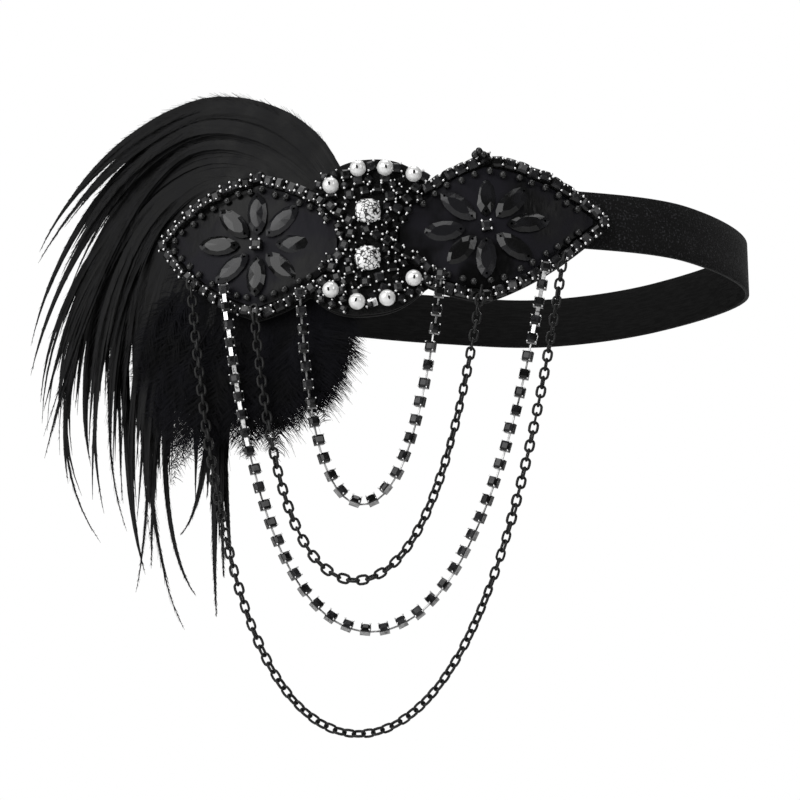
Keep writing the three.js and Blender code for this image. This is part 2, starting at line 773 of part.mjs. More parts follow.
// A chain of a given length hung between two points, swung a little towards the plume
class HangingCurve extends THREE.Curve {
  constructor(from, to, length) {
    super();
    this.from = from;
    this.span = Math.hypot(to.x - from.x, to.y - from.y);
    this.direction = new THREE.Vector3((to.x - from.x) / this.span, (to.y - from.y) / this.span, 0);
    const rise = to.z - from.z;
    const spare = Math.max(length, Math.hypot(this.span, rise) * 1.02);
    const flatLength = Math.sqrt(spare * spare - rise * rise);
    const spareAt = (a) => flatLength - 2 * a * Math.sinh(this.span / (2 * a));
    this.scale = solve(spareAt, this.span / 40, this.span * 40);
    this.lowest = (this.span - this.scale * Math.log((spare + rise) / (spare - rise))) / 2;
    this.slope0 = Math.sinh(-this.lowest / this.scale);
    this.chainLength = spare;
  }

  getPoint(t, target = new THREE.Vector3()) {
    const along = t * this.chainLength;
    const across = this.scale * Math.asinh(along / this.scale + this.slope0) + this.lowest;
    const height = this.scale * (Math.cosh((across - this.lowest) / this.scale)
      - Math.cosh(this.lowest / this.scale));
    target.copy(this.from).addScaledVector(this.direction, across + HANG.swingToPlume * height);
    target.z += height;
    return target;
  }
}

function chainEnd([alongShare, upShare], stand) {
  const s = alongShare * ORNAMENT.halfLength;
  return onOrnament(s, upShare * wingHeight(s), level.table + stand);
}

function hangChain(chain, stand) {
  const length = chain.length * 2 * ORNAMENT.halfLength;
  return new HangingCurve(chainEnd(chain.left, stand), chainEnd(chain.right, stand), length);
}

function makeCupChain(chain) {
  const curve = hangChain(chain, HANG.stand);
  const out = outwardOf(curve.direction);
  const count = Math.round(curve.chainLength / CHAIN_CUP.pitch);
  const frames = Array.from({ length: count + 1 }, (unused, index) => {
    const place = curve.getPointAt(index / count);
    const along = curve.getTangentAt(index / count);
    const across = out.clone().cross(along).normalize();
    return (a, b, c) => {
      return place.clone().addScaledVector(along, a).addScaledVector(across, b).addScaledVector(out, c);
    };
  });
  addPiece(chain.name, stoneRow(frames, CHAIN_CUP), MATERIALS.gunmetal);
}

function makeCableChain(chain) {
  const curve = hangChain(chain, HANG.stand + CABLE.diameter / 2);
  const section = new THREE.Shape();
  for (let k = 0; k < CABLE.sides; k += 1) {
    const angle = ((k + 0.5) * 2 * Math.PI) / CABLE.sides;
    const radius = CABLE.diameter / 2;
    if (k === 0) section.moveTo(radius * Math.cos(angle), radius * Math.sin(angle));
    else section.lineTo(radius * Math.cos(angle), radius * Math.sin(angle));
  }
  section.closePath();
  const tube = new THREE.ExtrudeGeometry(section, {
    steps: Math.round(curve.chainLength / CABLE.step),
    extrudePath: curve,
  });
  tube.deleteAttribute('normal');
  tube.deleteAttribute('uv');
  addPiece(chain.name, mergeVertices(tube, 1e-4), MATERIALS.gunmetal);
}

// The feathers

function onPlume(across, up, out) {
  return plumeLine.at(-across, out, up);
}

// True where the felt in front or the band behind keeps a lock thin, by the side it opens to
function isHeldThin(across, up, depth) {
  const margin = 5;
  if (depth > 0) {
    return across < ORNAMENT.halfLength
      && Math.abs(up - middleHeight(-across)) < outlineHeight(-across) + margin;
  }
  return across < ORNAMENT.halfLength + margin * 5 && Math.abs(up) < BAND.width / 2 + margin;
}

const thinHalf = (PLUME.room - CLEARANCE * 3) / 2;

// A lock: a tapered flat tube along a curve in the plume's surface, to a fine tip
function makeLock(root, bend, tip, girth, depth, fullness) {
  const { stations, sides } = LOCK;
  const curve = new THREE.QuadraticBezierCurve(root, bend, tip);
  let free = 0;
  for (let t = 0; t < 1; t += 0.02) {
    const point = curve.getPoint(t);
    if (isHeldThin(point.x, point.y, depth)) free = t;
  }
  const rings = [];
  for (let i = 0; i < stations; i += 1) {
    const t = (i / (stations - 1)) * LOCK.tipShare;
    const middle = curve.getPoint(t);
    const heading = curve.getTangent(t);
    const opening = smoothstep(free, Math.min(free + LOCK.opening, 1), t);
    const taper = Math.min(1, (1 - t) * LOCK.tipSharpness);
    const halfWidth = girth * (0.5 + LOCK.swell * t) * (1 - t);
    const halfDepth = (thinHalf + (fullness - thinHalf) * opening) * taper;
    const out = depth * opening;
    rings.push(range(0, 360 - 360 / sides, sides).map((turn) => {
      const angle = THREE.MathUtils.degToRad(turn + LOCK.turn);
      const side = halfWidth * Math.cos(angle);
      const height = halfDepth * Math.sin(angle);
      return onPlume(middle.x - heading.y * side, middle.y + heading.x * side, out + height);
    }));
  }
  return lofted(rings);
}

// The glued head of a bundle: a flat oval pad that follows the band
function makeHead(across, up, width, height) {
  const half = thinHalf + 0.15;
  const stations = 7;
  const rings = range(-1, 1, stations).map((share) => {
    const rise = (height / 2) * Math.sqrt(Math.max(1 - share * share, 0.12));
    const place = across + (share * width) / 2;
    return [[-1, -1], [1, -1], [1, 1], [-1, 1]].map(([o, u]) => onPlume(place, up + u * rise, o * half));
  });
  return lofted(rings);
}

function makePlume() {
  const headAt = PLUME.rootAcross + PLUME.headWidth / 3;
  const pieces = [makeHead(headAt, PLUME.rootUp, PLUME.headWidth, PLUME.headHeight)];
  HACKLES.forEach((lock, index) => {
    const share = index / (HACKLES.length - 1);
    const root = new THREE.Vector2(PLUME.rootAcross + share * PLUME.headWidth * 0.5, PLUME.rootUp);
    const tip = new THREE.Vector2(lock.across * PLUME.reach, lock.up * PLUME.fall);
    const bend = new THREE.Vector2(PLUME.reach * (0.46 + 0.06 * share), lock.arch * PLUME.fall);
    const depth = lock.depth * PLUME.spread;
    pieces.push(makeLock(root, bend, tip, lock.girth * PLUME.girth, depth, PLUME.halfDepth));
  });
  addPiece('feather_plume', joined(pieces), MATERIALS.hackle);
}

function makeTuft() {
  const pieces = [makeHead(TUFT.rootAcross, TUFT.rootUp, TUFT.headWidth, TUFT.headHeight)];
  MARABOU.forEach((lock, index) => {
    const share = index / (MARABOU.length - 1);
    const root = new THREE.Vector2(TUFT.rootAcross + (share - 0.5) * TUFT.headWidth * 0.75, TUFT.rootUp);
    const tip = new THREE.Vector2(lock.across * TUFT.reach, lock.up * TUFT.fall);
    const bend = new THREE.Vector2((root.x * 0.6 + tip.x * 0.4), tip.y * 0.55);
    pieces.push(makeLock(root, bend, tip, lock.girth * TUFT.girth, TUFT.forward, TUFT.halfDepth));
  });
  addPiece('marabou_tuft', joined(pieces), MATERIALS.marabou);
}

makeBand();
makeFelt();
makePanel('left_panel', -1);
makePanel('right_panel', 1);
makeRim('left_rim', -1, RIM_END.leftWaistRoom);
makeRim('right_rim', 1, RIM_END.rightWaistRoom);
makeMiddle();
makeCrystal('upper_crystal', CRYSTAL.offset);
makeCrystal('lower_crystal', -CRYSTAL.offset);
makePearls();
makeFlower('left', -1);
makeFlower('right', 1);
for (const chain of CHAINS) {
  if (chain.cups) makeCupChain(chain);
  else makeCableChain(chain);
}
makePlume();
makeTuft();

export default headband;
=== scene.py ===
"""Flapper feather headband: velvet band, beaded ornament, hanging chains, hackles and marabou."""
import math
import random
from random import gauss, uniform

import bpy
from mathutils import Matrix, Vector


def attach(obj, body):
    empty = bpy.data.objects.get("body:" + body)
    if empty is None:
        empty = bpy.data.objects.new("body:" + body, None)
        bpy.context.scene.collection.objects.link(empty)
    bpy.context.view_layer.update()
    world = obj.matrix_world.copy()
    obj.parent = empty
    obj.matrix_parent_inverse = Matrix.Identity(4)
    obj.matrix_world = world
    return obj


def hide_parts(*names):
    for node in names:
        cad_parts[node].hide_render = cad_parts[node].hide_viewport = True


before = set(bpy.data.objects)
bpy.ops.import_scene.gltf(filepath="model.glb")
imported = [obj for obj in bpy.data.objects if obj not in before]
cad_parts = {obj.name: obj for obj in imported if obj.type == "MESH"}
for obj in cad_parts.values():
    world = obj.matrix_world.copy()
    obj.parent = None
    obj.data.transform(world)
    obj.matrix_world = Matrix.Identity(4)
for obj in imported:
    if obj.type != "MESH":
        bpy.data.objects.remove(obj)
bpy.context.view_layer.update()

MM = 0.001
CLEARANCE = 0.3

# Sizes in millimetres, as in the solids but for petals, beads and links, which only this script has so
BAND_ACROSS = 102.5
BAND_BACK = 69.0
BAND_WIDTH = 19.0
BAND_THICKNESS = 1.5
HALF_LENGTH = 78.0
WING_CENTRE = 36.6
WING_HALF_HEIGHT = 24.3
FAN_HALF_HEIGHT = 25.6
FAN_HALF_WIDTH = 17.0
FELT_THICKNESS = 1.5
CUP_SIZE = 3.5
CUP_PITCH = 4.0
CUP_HEIGHT = 2.0
CROWN = 0.7
CHAIN_STAND = 0.85
CHAIN_CUP_PITCH = 5.8
LINK_STAND = 1.7
LINK_PITCH = 2.9
BEAD_RADIUS = 1.15
BEAD_PITCH = 4.6
CRYSTAL_RADIUS = 4.0
CRYSTAL_OFFSET = 7.7
PLINTH = 0.8
PEARL = 5.2
PETAL_LENGTH = 13.9
PETAL_WIDTH = 6.5
PANEL_THICKNESS = 1.0
RIM_ROOM = 4.3
TIP_ROOM = 1.2
WAIST_HALF_WIDTH = 9.2
PLATE = 1.0
PLUME_ROOM = 3.8
LEAVES_BAND_AT = 59.0
TIP_GAP = 0.6
SMALL_FILL = 2.3

# The ornament's place on the loop and its shape, as in the solids; sag, lean, drop and rise are in mm
ORNAMENT_PLACE = 0.6985
LEFT_STRETCH = 0.955
RIGHT_STRETCH = 1.02
SAG = 7.2
LEAN = 5.2
TIP_DROP = 2.2
TIP_RISE = 1.2
WING_SWELL = 0.62
TRIM_REACH = 1.45
FLARE_POWER = 2.4
FLARE_DROP = 0.27
FAN_REACH = 1.12

# Swing of the chains towards the plume, and run of the bars with painted shine on the right as a share of the
# left
CHAIN_SWING = 0.03
RIGHT_PAINTED_SHINE_SHARE = 0.42

# Sides of the ornament, and the room in mm between each rim's inner end and the waist
SIDES = ((-1, "left"), (1, "right"))
WAIST_ROOM = {-1: 0.3, 1: 4.6}

# The band's loop seen from above, as shares of its half width and half depth
LOOP_PLAN = [
    (1, -0.03), (0.746, 0.652), (0.356, 0.986), (-0.034, 0.906), (-0.346, 0.746), (-0.659, 0.5),
    (-1, -0.043), (-0.844, -0.703), (-0.415, -0.957), (-0.054, -1), (0.298, -0.942), (0.727, -0.696),
]

# Pearls around the crystals: side, turn in degrees, reach as a share of the fan
PEARL_FAN = [
    (1, 140, 0.85), (1, 102, 0.84), (1, 71, 0.85), (1, 40, 1.03),
    (-1, 139, 0.84), (-1, 102, 0.84), (-1, 68, 0.85), (-1, 29, 0.9),
]

# Rows of jets that carry the rims on to the waist: first and last place on the ornament, count
WAIST_ROWS = [
    ((-11.4, 10.9), (-5.3, 5.3), 3), ((-10.9, -9.3), (-5.0, 0.8), 4),
    ((17.2, 18.2), (5.7, 5.0), 5), ((17.7, -11.5), (2.4, 0.3), 6),
]

# Loose jets between the pearls and the crystals
LOOSE_STONES = [
    (-5.4, 13.8), (-1.0, 14.6), (2.8, 15.0), (6.4, 12.6), (-7.1, 20.6), (0.6, 22.9), (8.2, 21.6),
    (-3.0, 17.9), (4.9, 18.2), (-10.6, 14.6), (-5.2, -11.0), (-0.4, -15.0), (3.3, -13.6), (7.2, -10.8),
    (-7.7, -17.6), (8.7, -17.2), (-3.4, -18.6), (4.8, -17.6), (-9.3, -12.9), (-1.2, 2.0),
]
OPEN_SETTING = (1.4, -21.9)

# A knot of beads at the right wing's peak: place on the ornament and height over the felt
BEAD_KNOT = [
    (33.6, 24.3, 2.2), (35.3, 24.3, 1.8), (34.5, 24.9, 2.8), (35.9, 23.7, 2.5), (33.2, 23.6, 3.0),
]

# Prongs of the stones: place as a share of half the stone, radius
RIM_PRONGS = [(1.1, 0.5, 0.5), (1.1, -0.66, 0.46), (-0.05, 0.58, 0.34)]
SMALL_PRONGS = [(-0.84, -0.84, 0.46), (0.84, 0.84, 0.46), (1.1, -0.9, 0.38)]
TINY_PRONGS = [(-0.84, -0.84, 0.44), (0.84, 0.84, 0.32)]
CORNERS = [(-0.84, -0.84), (0.84, -0.84), (0.84, 0.84), (-0.84, 0.84)]

# Flower petals: turn in degrees, gap from the middle as a share of a petal
FLOWER = [(0, 0.45), (42, 0.3), (90, 0.24), (138, 0.3), (180, 0.45), (222, 0.3), (270, 0.24), (318, 0.3)]

# Hanging chains: length, left end and right end as shares of the half length and the wing's height
CHAINS = {
    "rhinestone_chain_inner": (153, (-0.27, -0.93), (0.29, -0.765)),
    "cable_chain_inner": (199, (-0.46, -0.92), (0.44, -0.92)),
    "rhinestone_chain_outer": (258, (-0.6, -0.72), (0.69, -0.87)),
    "cable_chain_outer": (329, (-0.74, -0.86), (0.755, -0.86)),
}


# Plan lines

def loop_spot(t):
    """A point and a tangent of the band's loop at spline place t."""
    count = len(LOOP_PLAN)
    place = (t % 1.0) * count
    first = int(place)
    w = place - first
    corners = [LOOP_PLAN[(first + k) % count] for k in (-1, 0, 1, 2)]
    p0, p1, p2, p3 = [Vector((x * BAND_ACROSS, y * BAND_BACK, 0)) for x, y in corners]
    t0 = (p2 - p0) * 0.5
    t1 = (p3 - p1) * 0.5
    c2 = (p2 - p1) * 3 - t0 * 2 - t1
    c3 = (p1 - p2) * 2 + t0 + t1
    return p1 + t0 * w + c2 * w * w + c3 * w ** 3, t0 + c2 * 2 * w + c3 * 3 * w * w


def running_lengths(points):
    lengths = [0.0]
    for one, other in zip(points, points[1:]):
        lengths.append(lengths[-1] + (other - one).length)
    return lengths


loop_steps = 1440
loop_lengths = running_lengths([loop_spot(step / loop_steps)[0] for step in range(loop_steps + 1)])
loop_length = loop_lengths[-1]


def outward_of(tangent):
    return Vector((tangent.y, -tangent.x, 0)).normalized()


def find_step(values, value):
    """The step of a rising list that holds the value, and the share of the step before it."""
    low, high = 0, len(values) - 1
    while high - low > 1:
        middle = (low + high) // 2
        if values[middle] > value:
            high = middle
        else:
            low = middle
    return low, (value - values[low]) / (values[low + 1] - values[low])


def band_point(s, out=0.0):
    """A point of the band's middle surface at distance s from the ornament's middle."""
    run = ((ORNAMENT_PLACE + s / loop_length) % 1.0) * loop_length
    low, part = find_step(loop_lengths, run)
    point, tangent = loop_spot((low + part) / loop_steps)
    return point + outward_of(tangent) * out


def smoothstep(low, high, value):
    t = min(max((value - low) / (high - low), 0.0), 1.0)
    return t * t * (3 - 2 * t)


class FollowingLine:
    """A line that follows the band at a stand-off, then leaves it on the left."""

    def __init__(self, stand_off):
        past_tip, free_run = 25, 222
        right_end = int(HALF_LENGTH) + past_tip
        left_end = -int(LEAVES_BAND_AT) - 1
        self.points = [band_point(s, stand_off(s)) for s in range(right_end, left_end, -1)]
        heading = (self.points[-1] - self.points[-2]).normalized()
        last = self.points[-1]
        self.points += [last + heading * run for run in range(1, free_run + 1)]
        distances = running_lengths(self.points)
        self.runs = [distance - distances[right_end] for distance in distances]

    def plain(self, s):
        low, part = find_step(self.runs, -s)
        return self.points[low].lerp(self.points[low + 1], part)

    def at(self, s, out, z):
        tangent = self.plain(s + 1.5) - self.plain(s - 1.5)
        point = self.plain(s) + outward_of(tangent) * out
        return Vector((point.x, point.y, z)) * MM


band_face = BAND_THICKNESS / 2 + CLEARANCE
ornament_line = FollowingLine(lambda s: band_face + PLUME_ROOM * smoothstep(-22, 6, -s))
plume_line = FollowingLine(lambda s: band_face + (PLUME_ROOM - CLEARANCE) / 2)


# The ornament's outline

def middle_height(s):
    t = s / HALF_LENGTH
    return (1 - t * t) * (LEAN * t - SAG) - TIP_DROP + TIP_RISE * t


def wing_height(s, trim=0.0):
    half = HALF_LENGTH - WING_CENTRE - trim * TRIM_REACH
    u = min(abs(abs(s) - WING_CENTRE) / half, 1)
    return (WING_HALF_HEIGHT - trim) * (1 - u) * (1 + WING_SWELL * u)


def fan_height(s):
    flare = (abs(s) / FAN_HALF_WIDTH) ** FLARE_POWER
    return FAN_HALF_HEIGHT - WING_HALF_HEIGHT * FLARE_DROP * flare


def outline_height(s):
    is_fan = abs(s) < FAN_HALF_WIDTH * FAN_REACH
    return max(fan_height(s), wing_height(s)) if is_fan else wing_height(s)


def on_ornament(s, v, h):
    stretch = LEFT_STRETCH if s < 0 else RIGHT_STRETCH
    return ornament_line.at(s * stretch, h, middle_height(s) + v)


def on_plume(across, up, out):
    return plume_line.at(-across, out, up)


def place_from(origin, along, out):
    across = out.cross(along).normalized()
    return Matrix.Translation(origin) @ Matrix((along, across, out)).transposed().to_4x4()


def ornament_place(s, v, turn, h, tilt=(0.0, 0.0)):
    """Where a small piece sits on the ornament: x along its turn, z out from the felt."""
    angle = math.radians(turn)
    reach = 0.5
    origin = on_ornament(s, v, h)
    ahead = on_ornament(s + reach * math.cos(angle), v + reach * math.sin(angle), h)
    out = (on_ornament(s, v, h + 1) - origin).normalized()
    lean = Matrix.Rotation(tilt[0], 4, "X") @ Matrix.Rotation(tilt[1], 4, "Y")
    return place_from(origin, (ahead - origin).normalized(), out) @ lean


SEAT = FELT_THICKNESS + CLEARANCE
PANEL_TOP = SEAT + PANEL_THICKNESS
PETAL_SEAT = PANEL_TOP + CLEARANCE
PLATE_TOP = SEAT + PLATE
STONE_TABLE = SEAT + CUP_HEIGHT + CROWN
RIM_TRIM = CUP_SIZE / 2 + CLEARANCE


# Node helpers for the finishes

def set_sockets(node, values):
    for socket, value in values.items():
        node.inputs[socket].default_value = value


def add_node(nodes, kind, values=None, **settings):
    node = nodes.new("ShaderNode" + kind)
    for name, value in settings.items():
        setattr(node, name, value)
    set_sockets(node, values or {})
    return node


def add_remap(nodes, from_low, from_high, to_low, to_high, **settings):
    values = {"From Min": from_low, "From Max": from_high, "To Min": to_low, "To Max": to_high}
    return add_node(nodes, "MapRange", values, **settings)


def connect(links, *wires):
    """Each wire names a node and its output, then a node and its input."""
    for start, output, end, entry in wires:
        links.new(start.outputs[output], end.inputs[entry])


def new_material(name, values):
    material = bpy.data.materials.new(name)
    material.use_nodes = True
    nodes = material.node_tree.nodes
    shader = nodes["Principled BSDF"]
    set_sockets(shader, values)
    return material, nodes, material.node_tree.links, shader


def build_grain_group():
    """Fine irregular grain: a colour between two shades, a roughness and a height."""
    group = bpy.data.node_groups.new("grain", "ShaderNodeTree")
    entries = [
        ("Scale", "Float", 1000.0), ("Stretch", "Vector", (1.0, 1.0, 1.0)),
        ("Dark", "Color", (0.01, 0.01, 0.01, 1)), ("Light", "Color", (0.05, 0.05, 0.05, 1)),
        ("Cover", "Float", 0.5), ("Softness", "Float", 0.1),
        ("Smooth", "Float", 0.3), ("Rough", "Float", 0.6),
    ]
    for name, kind, value in entries:
        socket = group.interface.new_socket(name=name, in_out="INPUT", socket_type="NodeSocket" + kind)
        socket.default_value = value
    for name, kind in (("Colour", "Color"), ("Roughness", "Float"), ("Height", "Float")):
        group.interface.new_socket(name=name, in_out="OUTPUT", socket_type="NodeSocket" + kind)
    nodes = group.nodes
    start = nodes.new("NodeGroupInput")
    end = nodes.new("NodeGroupOutput")
    coordinates = add_node(nodes, "TexCoord")
    stretch = add_node(nodes, "VectorMath", operation="MULTIPLY")
    noise = add_node(nodes, "TexNoise", {"Detail": 3.0, "Roughness": 0.6})
    low = add_node(nodes, "Math", operation="SUBTRACT")
    high = add_node(nodes, "Math", operation="ADD")
    mask = add_node(nodes, "MapRange", interpolation_type="SMOOTHSTEP")
    shade = add_node(nodes, "Mix", data_type="RGBA")
    finish = add_node(nodes, "Mix", data_type="FLOAT")
    connect(
        group.links,
        (coordinates, "Object", stretch, 0), (start, "Stretch", stretch, 1),
        (stretch, 0, noise, "Vector"), (start, "Scale", noise, "Scale"),
        (start, "Cover", low, 0), (start, "Softness", low, 1),
        (start, "Cover", high, 0), (start, "Softness", high, 1),
        (noise, "Fac", mask, "Value"), (low, 0, mask, "From Min"), (high, 0, mask, "From Max"),
        (mask, "Result", shade, "Factor"), (start, "Dark", shade, "A"), (start, "Light", shade, "B"),
        (mask, "Result", finish, "Factor"), (start, "Smooth", finish, "A"),
        (start, "Rough", finish, "B"),
        (shade, "Result", end, "Colour"), (finish, "Result", end, "Roughness"), (noise, "Fac", end, "Height"),
    )
    return group


grain = build_grain_group()


def add_grain(nodes, values):
    return add_node(nodes, "Group", values, node_tree=grain)


def add_bump(nodes, links, shader, height, strength, distance):
    bump = add_node(nodes, "Bump", {"Strength": strength, "Distance": distance})
    connect(links, (*height, bump, "Height"), (bump, "Normal", shader, "Normal"))
    return bump


def grey(value, blue=1.0):
    return (value, value, value * blue, 1)


def grained_finish(name, scale, shades, roughness, gloss, relief, more_grain=(), more_shader=()):
    """A finish whose colour, roughness and relief all come from one grain."""
    material, nodes, links, shader = new_material(name, {"Specular IOR Level": gloss, **dict(more_shader)})
    values = {"Scale": scale, "Dark": shades[0], "Light": shades[1]}
    values.update({"Smooth": roughness[0], "Rough": roughness[1], **dict(more_grain)})
    node = add_grain(nodes, values)
    connect(links, (node, "Colour", shader, "Base Color"), (node, "Roughness", shader, "Roughness"))
    add_bump(nodes, links, shader, (node, "Height"), *relief)
    return material


# Finishes: scale, dark and light shade, lowest and highest roughness, gloss, relief
METAL = {"Metallic": 1.0}
velvet = grained_finish(
    "velvet_pile", 1500.0, (grey(0.004), grey(0.05, 1.08)), (0.7, 0.95), 0.12, (0.6, 0.0003),
    {"Cover": 0.63}, {"Sheen Weight": 0.12, "Sheen Roughness": 0.4},
)
elastic = grained_finish(
    "elastic_inside", 900.0, (grey(0.004), grey(0.01)), (0.8, 0.95), 0.12, (0.4, 0.0002),
    {"Stretch": (0.25, 0.25, 2.5)},
)
felt = grained_finish(
    "stiff_felt", 2200.0, (grey(0.004), grey(0.014)), (0.8, 0.98), 0.1, (0.6, 0.0002),
    more_shader={"Sheen Weight": 0.05},
)
jet = grained_finish(
    "jet_stone", 160.0, (grey(0.004), grey(0.016, 1.1)), (0.1, 0.28), 0.36, (0.1, 0.0001),
)
petal_stone = grained_finish(
    "petal_stone", 90.0, (grey(0.005), grey(0.011, 1.15)), (0.08, 0.2), 0.34, (0.12, 0.0002),
)
bead_glass = grained_finish(
    "black_bead", 300.0, (grey(0.008), grey(0.02)), (0.15, 0.35), 0.5, (0.1, 0.0001),
)
silver = grained_finish(
    "bright_plating", 700.0, (grey(0.75), grey(0.98)), (0.2, 0.36), 0.5, (0.15, 0.0001),
    {"Cover": 0.42}, METAL,
)
chain_metal = grained_finish(
    "dull_chain_plating", 700.0, (grey(0.22), grey(0.42)), (0.22, 0.4), 0.5, (0.15, 0.0001),
    {"Cover": 0.45}, METAL,
)
gunmetal = grained_finish(
    "black_plating", 1200.0, (grey(0.005), grey(0.012)), (0.35, 0.55), 0.3, (0.15, 0.0001),
)
pearl_coat = grained_finish(
    "pearl_coat", 140.0, (grey(0.84, 0.99), grey(0.9, 0.99)), (0.12, 0.2), 0.8, (0.05, 0.0001),
    {"Softness": 0.3}, {"Coat Weight": 1.0, "Coat IOR": 2.3, "Coat Roughness": 0.07},
)
hackle_barb = grained_finish(
    "hackle_barbs", 140.0, (grey(0.004), grey(0.0095, 1.08)), (0.45, 0.7), 0.14, (0.2, 0.0002),
    {"Softness": 0.2},
)
# Black fluff whose lighter bluish patches are painted sheen of light through the thin barbs
marabou_barb_painted_sheen = grained_finish(
    "marabou_fluff", 60.0, (grey(0.003, 1.15), grey(0.0075, 1.3)), (0.7, 0.95), 0.1, (0.1, 0.0002),
    {"Softness": 0.15},
)


def make_satin():
    """Black satin: a fine weave, a little violet, with soft lighter and darker stretches in its colour that
    are painted sheen of its folds.
    """
    material, nodes, links, shader = new_material("black_satin", {"Specular IOR Level": 0.12})
    # Painted sheen: the lighter stretches of colour stand for the satin's sheen on its folds
    painted_sheen_patches = add_grain(nodes, {
        "Scale": 55.0, "Dark": grey(0.002), "Light": (0.0095, 0.009, 0.0125, 1), "Softness": 0.12,
        "Smooth": 0.3, "Rough": 0.6,
    })
    weave = add_grain(nodes, {"Scale": 1800.0, "Stretch": (1.0, 1.0, 0.3)})
    folds = add_grain(nodes, {"Scale": 110.0, "Stretch": (1.0, 1.0, 0.5)})
    connect(links, (painted_sheen_patches, "Colour", shader, "Base Color"), (painted_sheen_patches, "Roughness", shader, "Roughness"))
    wide = add_bump(nodes, links, shader, (folds, "Height"), 0.5, 0.0012)
    fine = add_bump(nodes, links, shader, (weave, "Height"), 0.25, 0.0001)
    connect(links, (wide, "Normal", fine, "Normal"))
    return material


def make_cut_crystal():
    """Clear stone over silver foil, with its facets' glints and dark reflections painted into the colour:
    painted bright glints crossed by dark broken lines between its facets, and painted dark flecks.
    """
    values = {"Roughness": 0.2, "Metallic": 0.1, "Specular IOR Level": 0.5, "Coat Weight": 0.4}
    material, nodes, links, shader = new_material("crystal_painted_glints", values)
    coordinates = add_node(nodes, "TexCoord")
    # Painted dark reflections: dark lines along the facets' edges
    cracks = add_node(nodes, "TexVoronoi", {"Scale": 760.0}, feature="DISTANCE_TO_EDGE")
    crack = add_remap(nodes, 0.07, 0.15, 0.01, 1.0)
    # Painted bright glints: patches that break the dark lines
    broken = add_node(nodes, "TexNoise", {"Scale": 620.0, "Detail": 1.0})
    whole = add_remap(nodes, 0.54, 0.6, 0.0, 0.9)
    line = add_node(nodes, "Math", operation="MAXIMUM")
    # Painted dark flecks of reflection
    painted_dark_fleck = add_node(nodes, "TexNoise", {"Scale": 800.0, "Detail": 0.0})
    dark = add_remap(nodes, 0.28, 0.34, 0.03, 1.0)
    shade = add_node(nodes, "Math", operation="MULTIPLY")
    for node in (cracks, broken, painted_dark_fleck):
        connect(links, (coordinates, "Object", node, "Vector"))
    connect(
        links,
        (cracks, "Distance", crack, "Value"), (broken, "Fac", whole, "Value"), (painted_dark_fleck, "Fac", dark, "Value"),
        (crack, "Result", line, 0), (whole, "Result", line, 1),
        (line, 0, shade, 0), (dark, "Result", shade, 1), (shade, 0, shader, "Base Color"),
    )
    add_bump(nodes, links, shader, (cracks, "Distance"), 0.15, 0.0002)
    return material


satin = make_satin()
crystal_painted_glints = make_cut_crystal()


# Modelling helpers

def activate(piece):
    bpy.ops.object.select_all(action="DESELECT")
    piece.select_set(True)
    bpy.context.view_layer.objects.active = piece


def added(name, add, **values):
    """Adds a primitive by itself, names it and rests it at the origin."""
    bpy.ops.object.select_all(action="DESELECT")
    add(**values)
    piece = bpy.context.active_object
    piece.name = name
    piece.data.name = name
    activate(piece)
    bpy.ops.object.transform_apply(location=True, rotation=True, scale=True)
    return piece


def in_metres(values):
    return [value * MM for value in values]


def add_block(name, size, place=(0, 0, 0)):
    cube = bpy.ops.mesh.primitive_cube_add
    return added(name, cube, size=1, location=in_metres(place), scale=in_metres(size))


def add_ball(name, segments, rings, radius, place=(0, 0, 0)):
    return added(
        name, bpy.ops.mesh.primitive_uv_sphere_add,
        segments=segments, ring_count=rings, radius=radius * MM, location=in_metres(place),
    )


def add_rod(name, sides, radius, depth, place):
    return added(
        name, bpy.ops.mesh.primitive_cylinder_add,
        vertices=sides, radius=radius * MM, depth=depth * MM, location=in_metres(place),
    )


def edit_faces(piece, wanted):
    """Opens edit mode with the faces that are wanted selected."""
    activate(piece)
    bpy.context.tool_settings.mesh_select_mode = (False, False, True)
    mesh = piece.data
    mesh.vertices.foreach_set("select", [False] * len(mesh.vertices))
    mesh.edges.foreach_set("select", [False] * len(mesh.edges))
    mesh.polygons.foreach_set("select", [bool(wanted(face)) for face in mesh.polygons])
    bpy.ops.object.mode_set(mode="EDIT")


def leave_edit():
    bpy.ops.object.mode_set(mode="OBJECT")


def every_face(face):
    return True


def facing_up(face):
    return face.normal.z > 0.9


def facing_down(face):
    return face.normal.z < -0.85


def extrude(height):
    bpy.ops.mesh.extrude_region_move(TRANSFORM_OT_translate={"value": (0, 0, height * MM)})


def inset(thickness, depth=0):
    bpy.ops.mesh.inset(thickness=thickness * MM, depth=depth * MM)


def face_outwards(piece):
    edit_faces(piece, every_face)
    bpy.ops.mesh.remove_doubles(threshold=1e-7)
    bpy.ops.mesh.normals_make_consistent(inside=False)
    leave_edit()


def apply_modifier(piece, kind, **values):
    activate(piece)
    modifier = piece.modifiers.new(kind.lower(), kind)
    for name, value in values.items():
        setattr(modifier, name, value)
    bpy.ops.object.modifier_apply(modifier=modifier.name)


def coat(piece, *finishes):
    for finish in finishes:
        piece.data.materials.append(finish)


def smooth(piece, degrees=35):
    activate(piece)
    bpy.ops.object.shade_smooth_by_angle(angle=math.radians(degrees))


def join_all(pieces, name):
    bpy.ops.object.select_all(action="DESELECT")
    for piece in pieces:
        piece.select_set(True)
    bpy.context.view_layer.objects.active = pieces[0]
    bpy.ops.object.join()
    whole = bpy.context.active_object
    whole.name = name
    whole.data.name = name
    return whole


def copies(master, places, name):
    """Copies of one finished piece, each with its own mesh, joined into one object."""
    made = []
    for place in places:
        copy = master.copy()
        copy.data = master.data.copy()
        copy.data.transform(place)
        bpy.context.scene.collection.objects.link(copy)
        made.append(copy)
    return join_all(made, name)


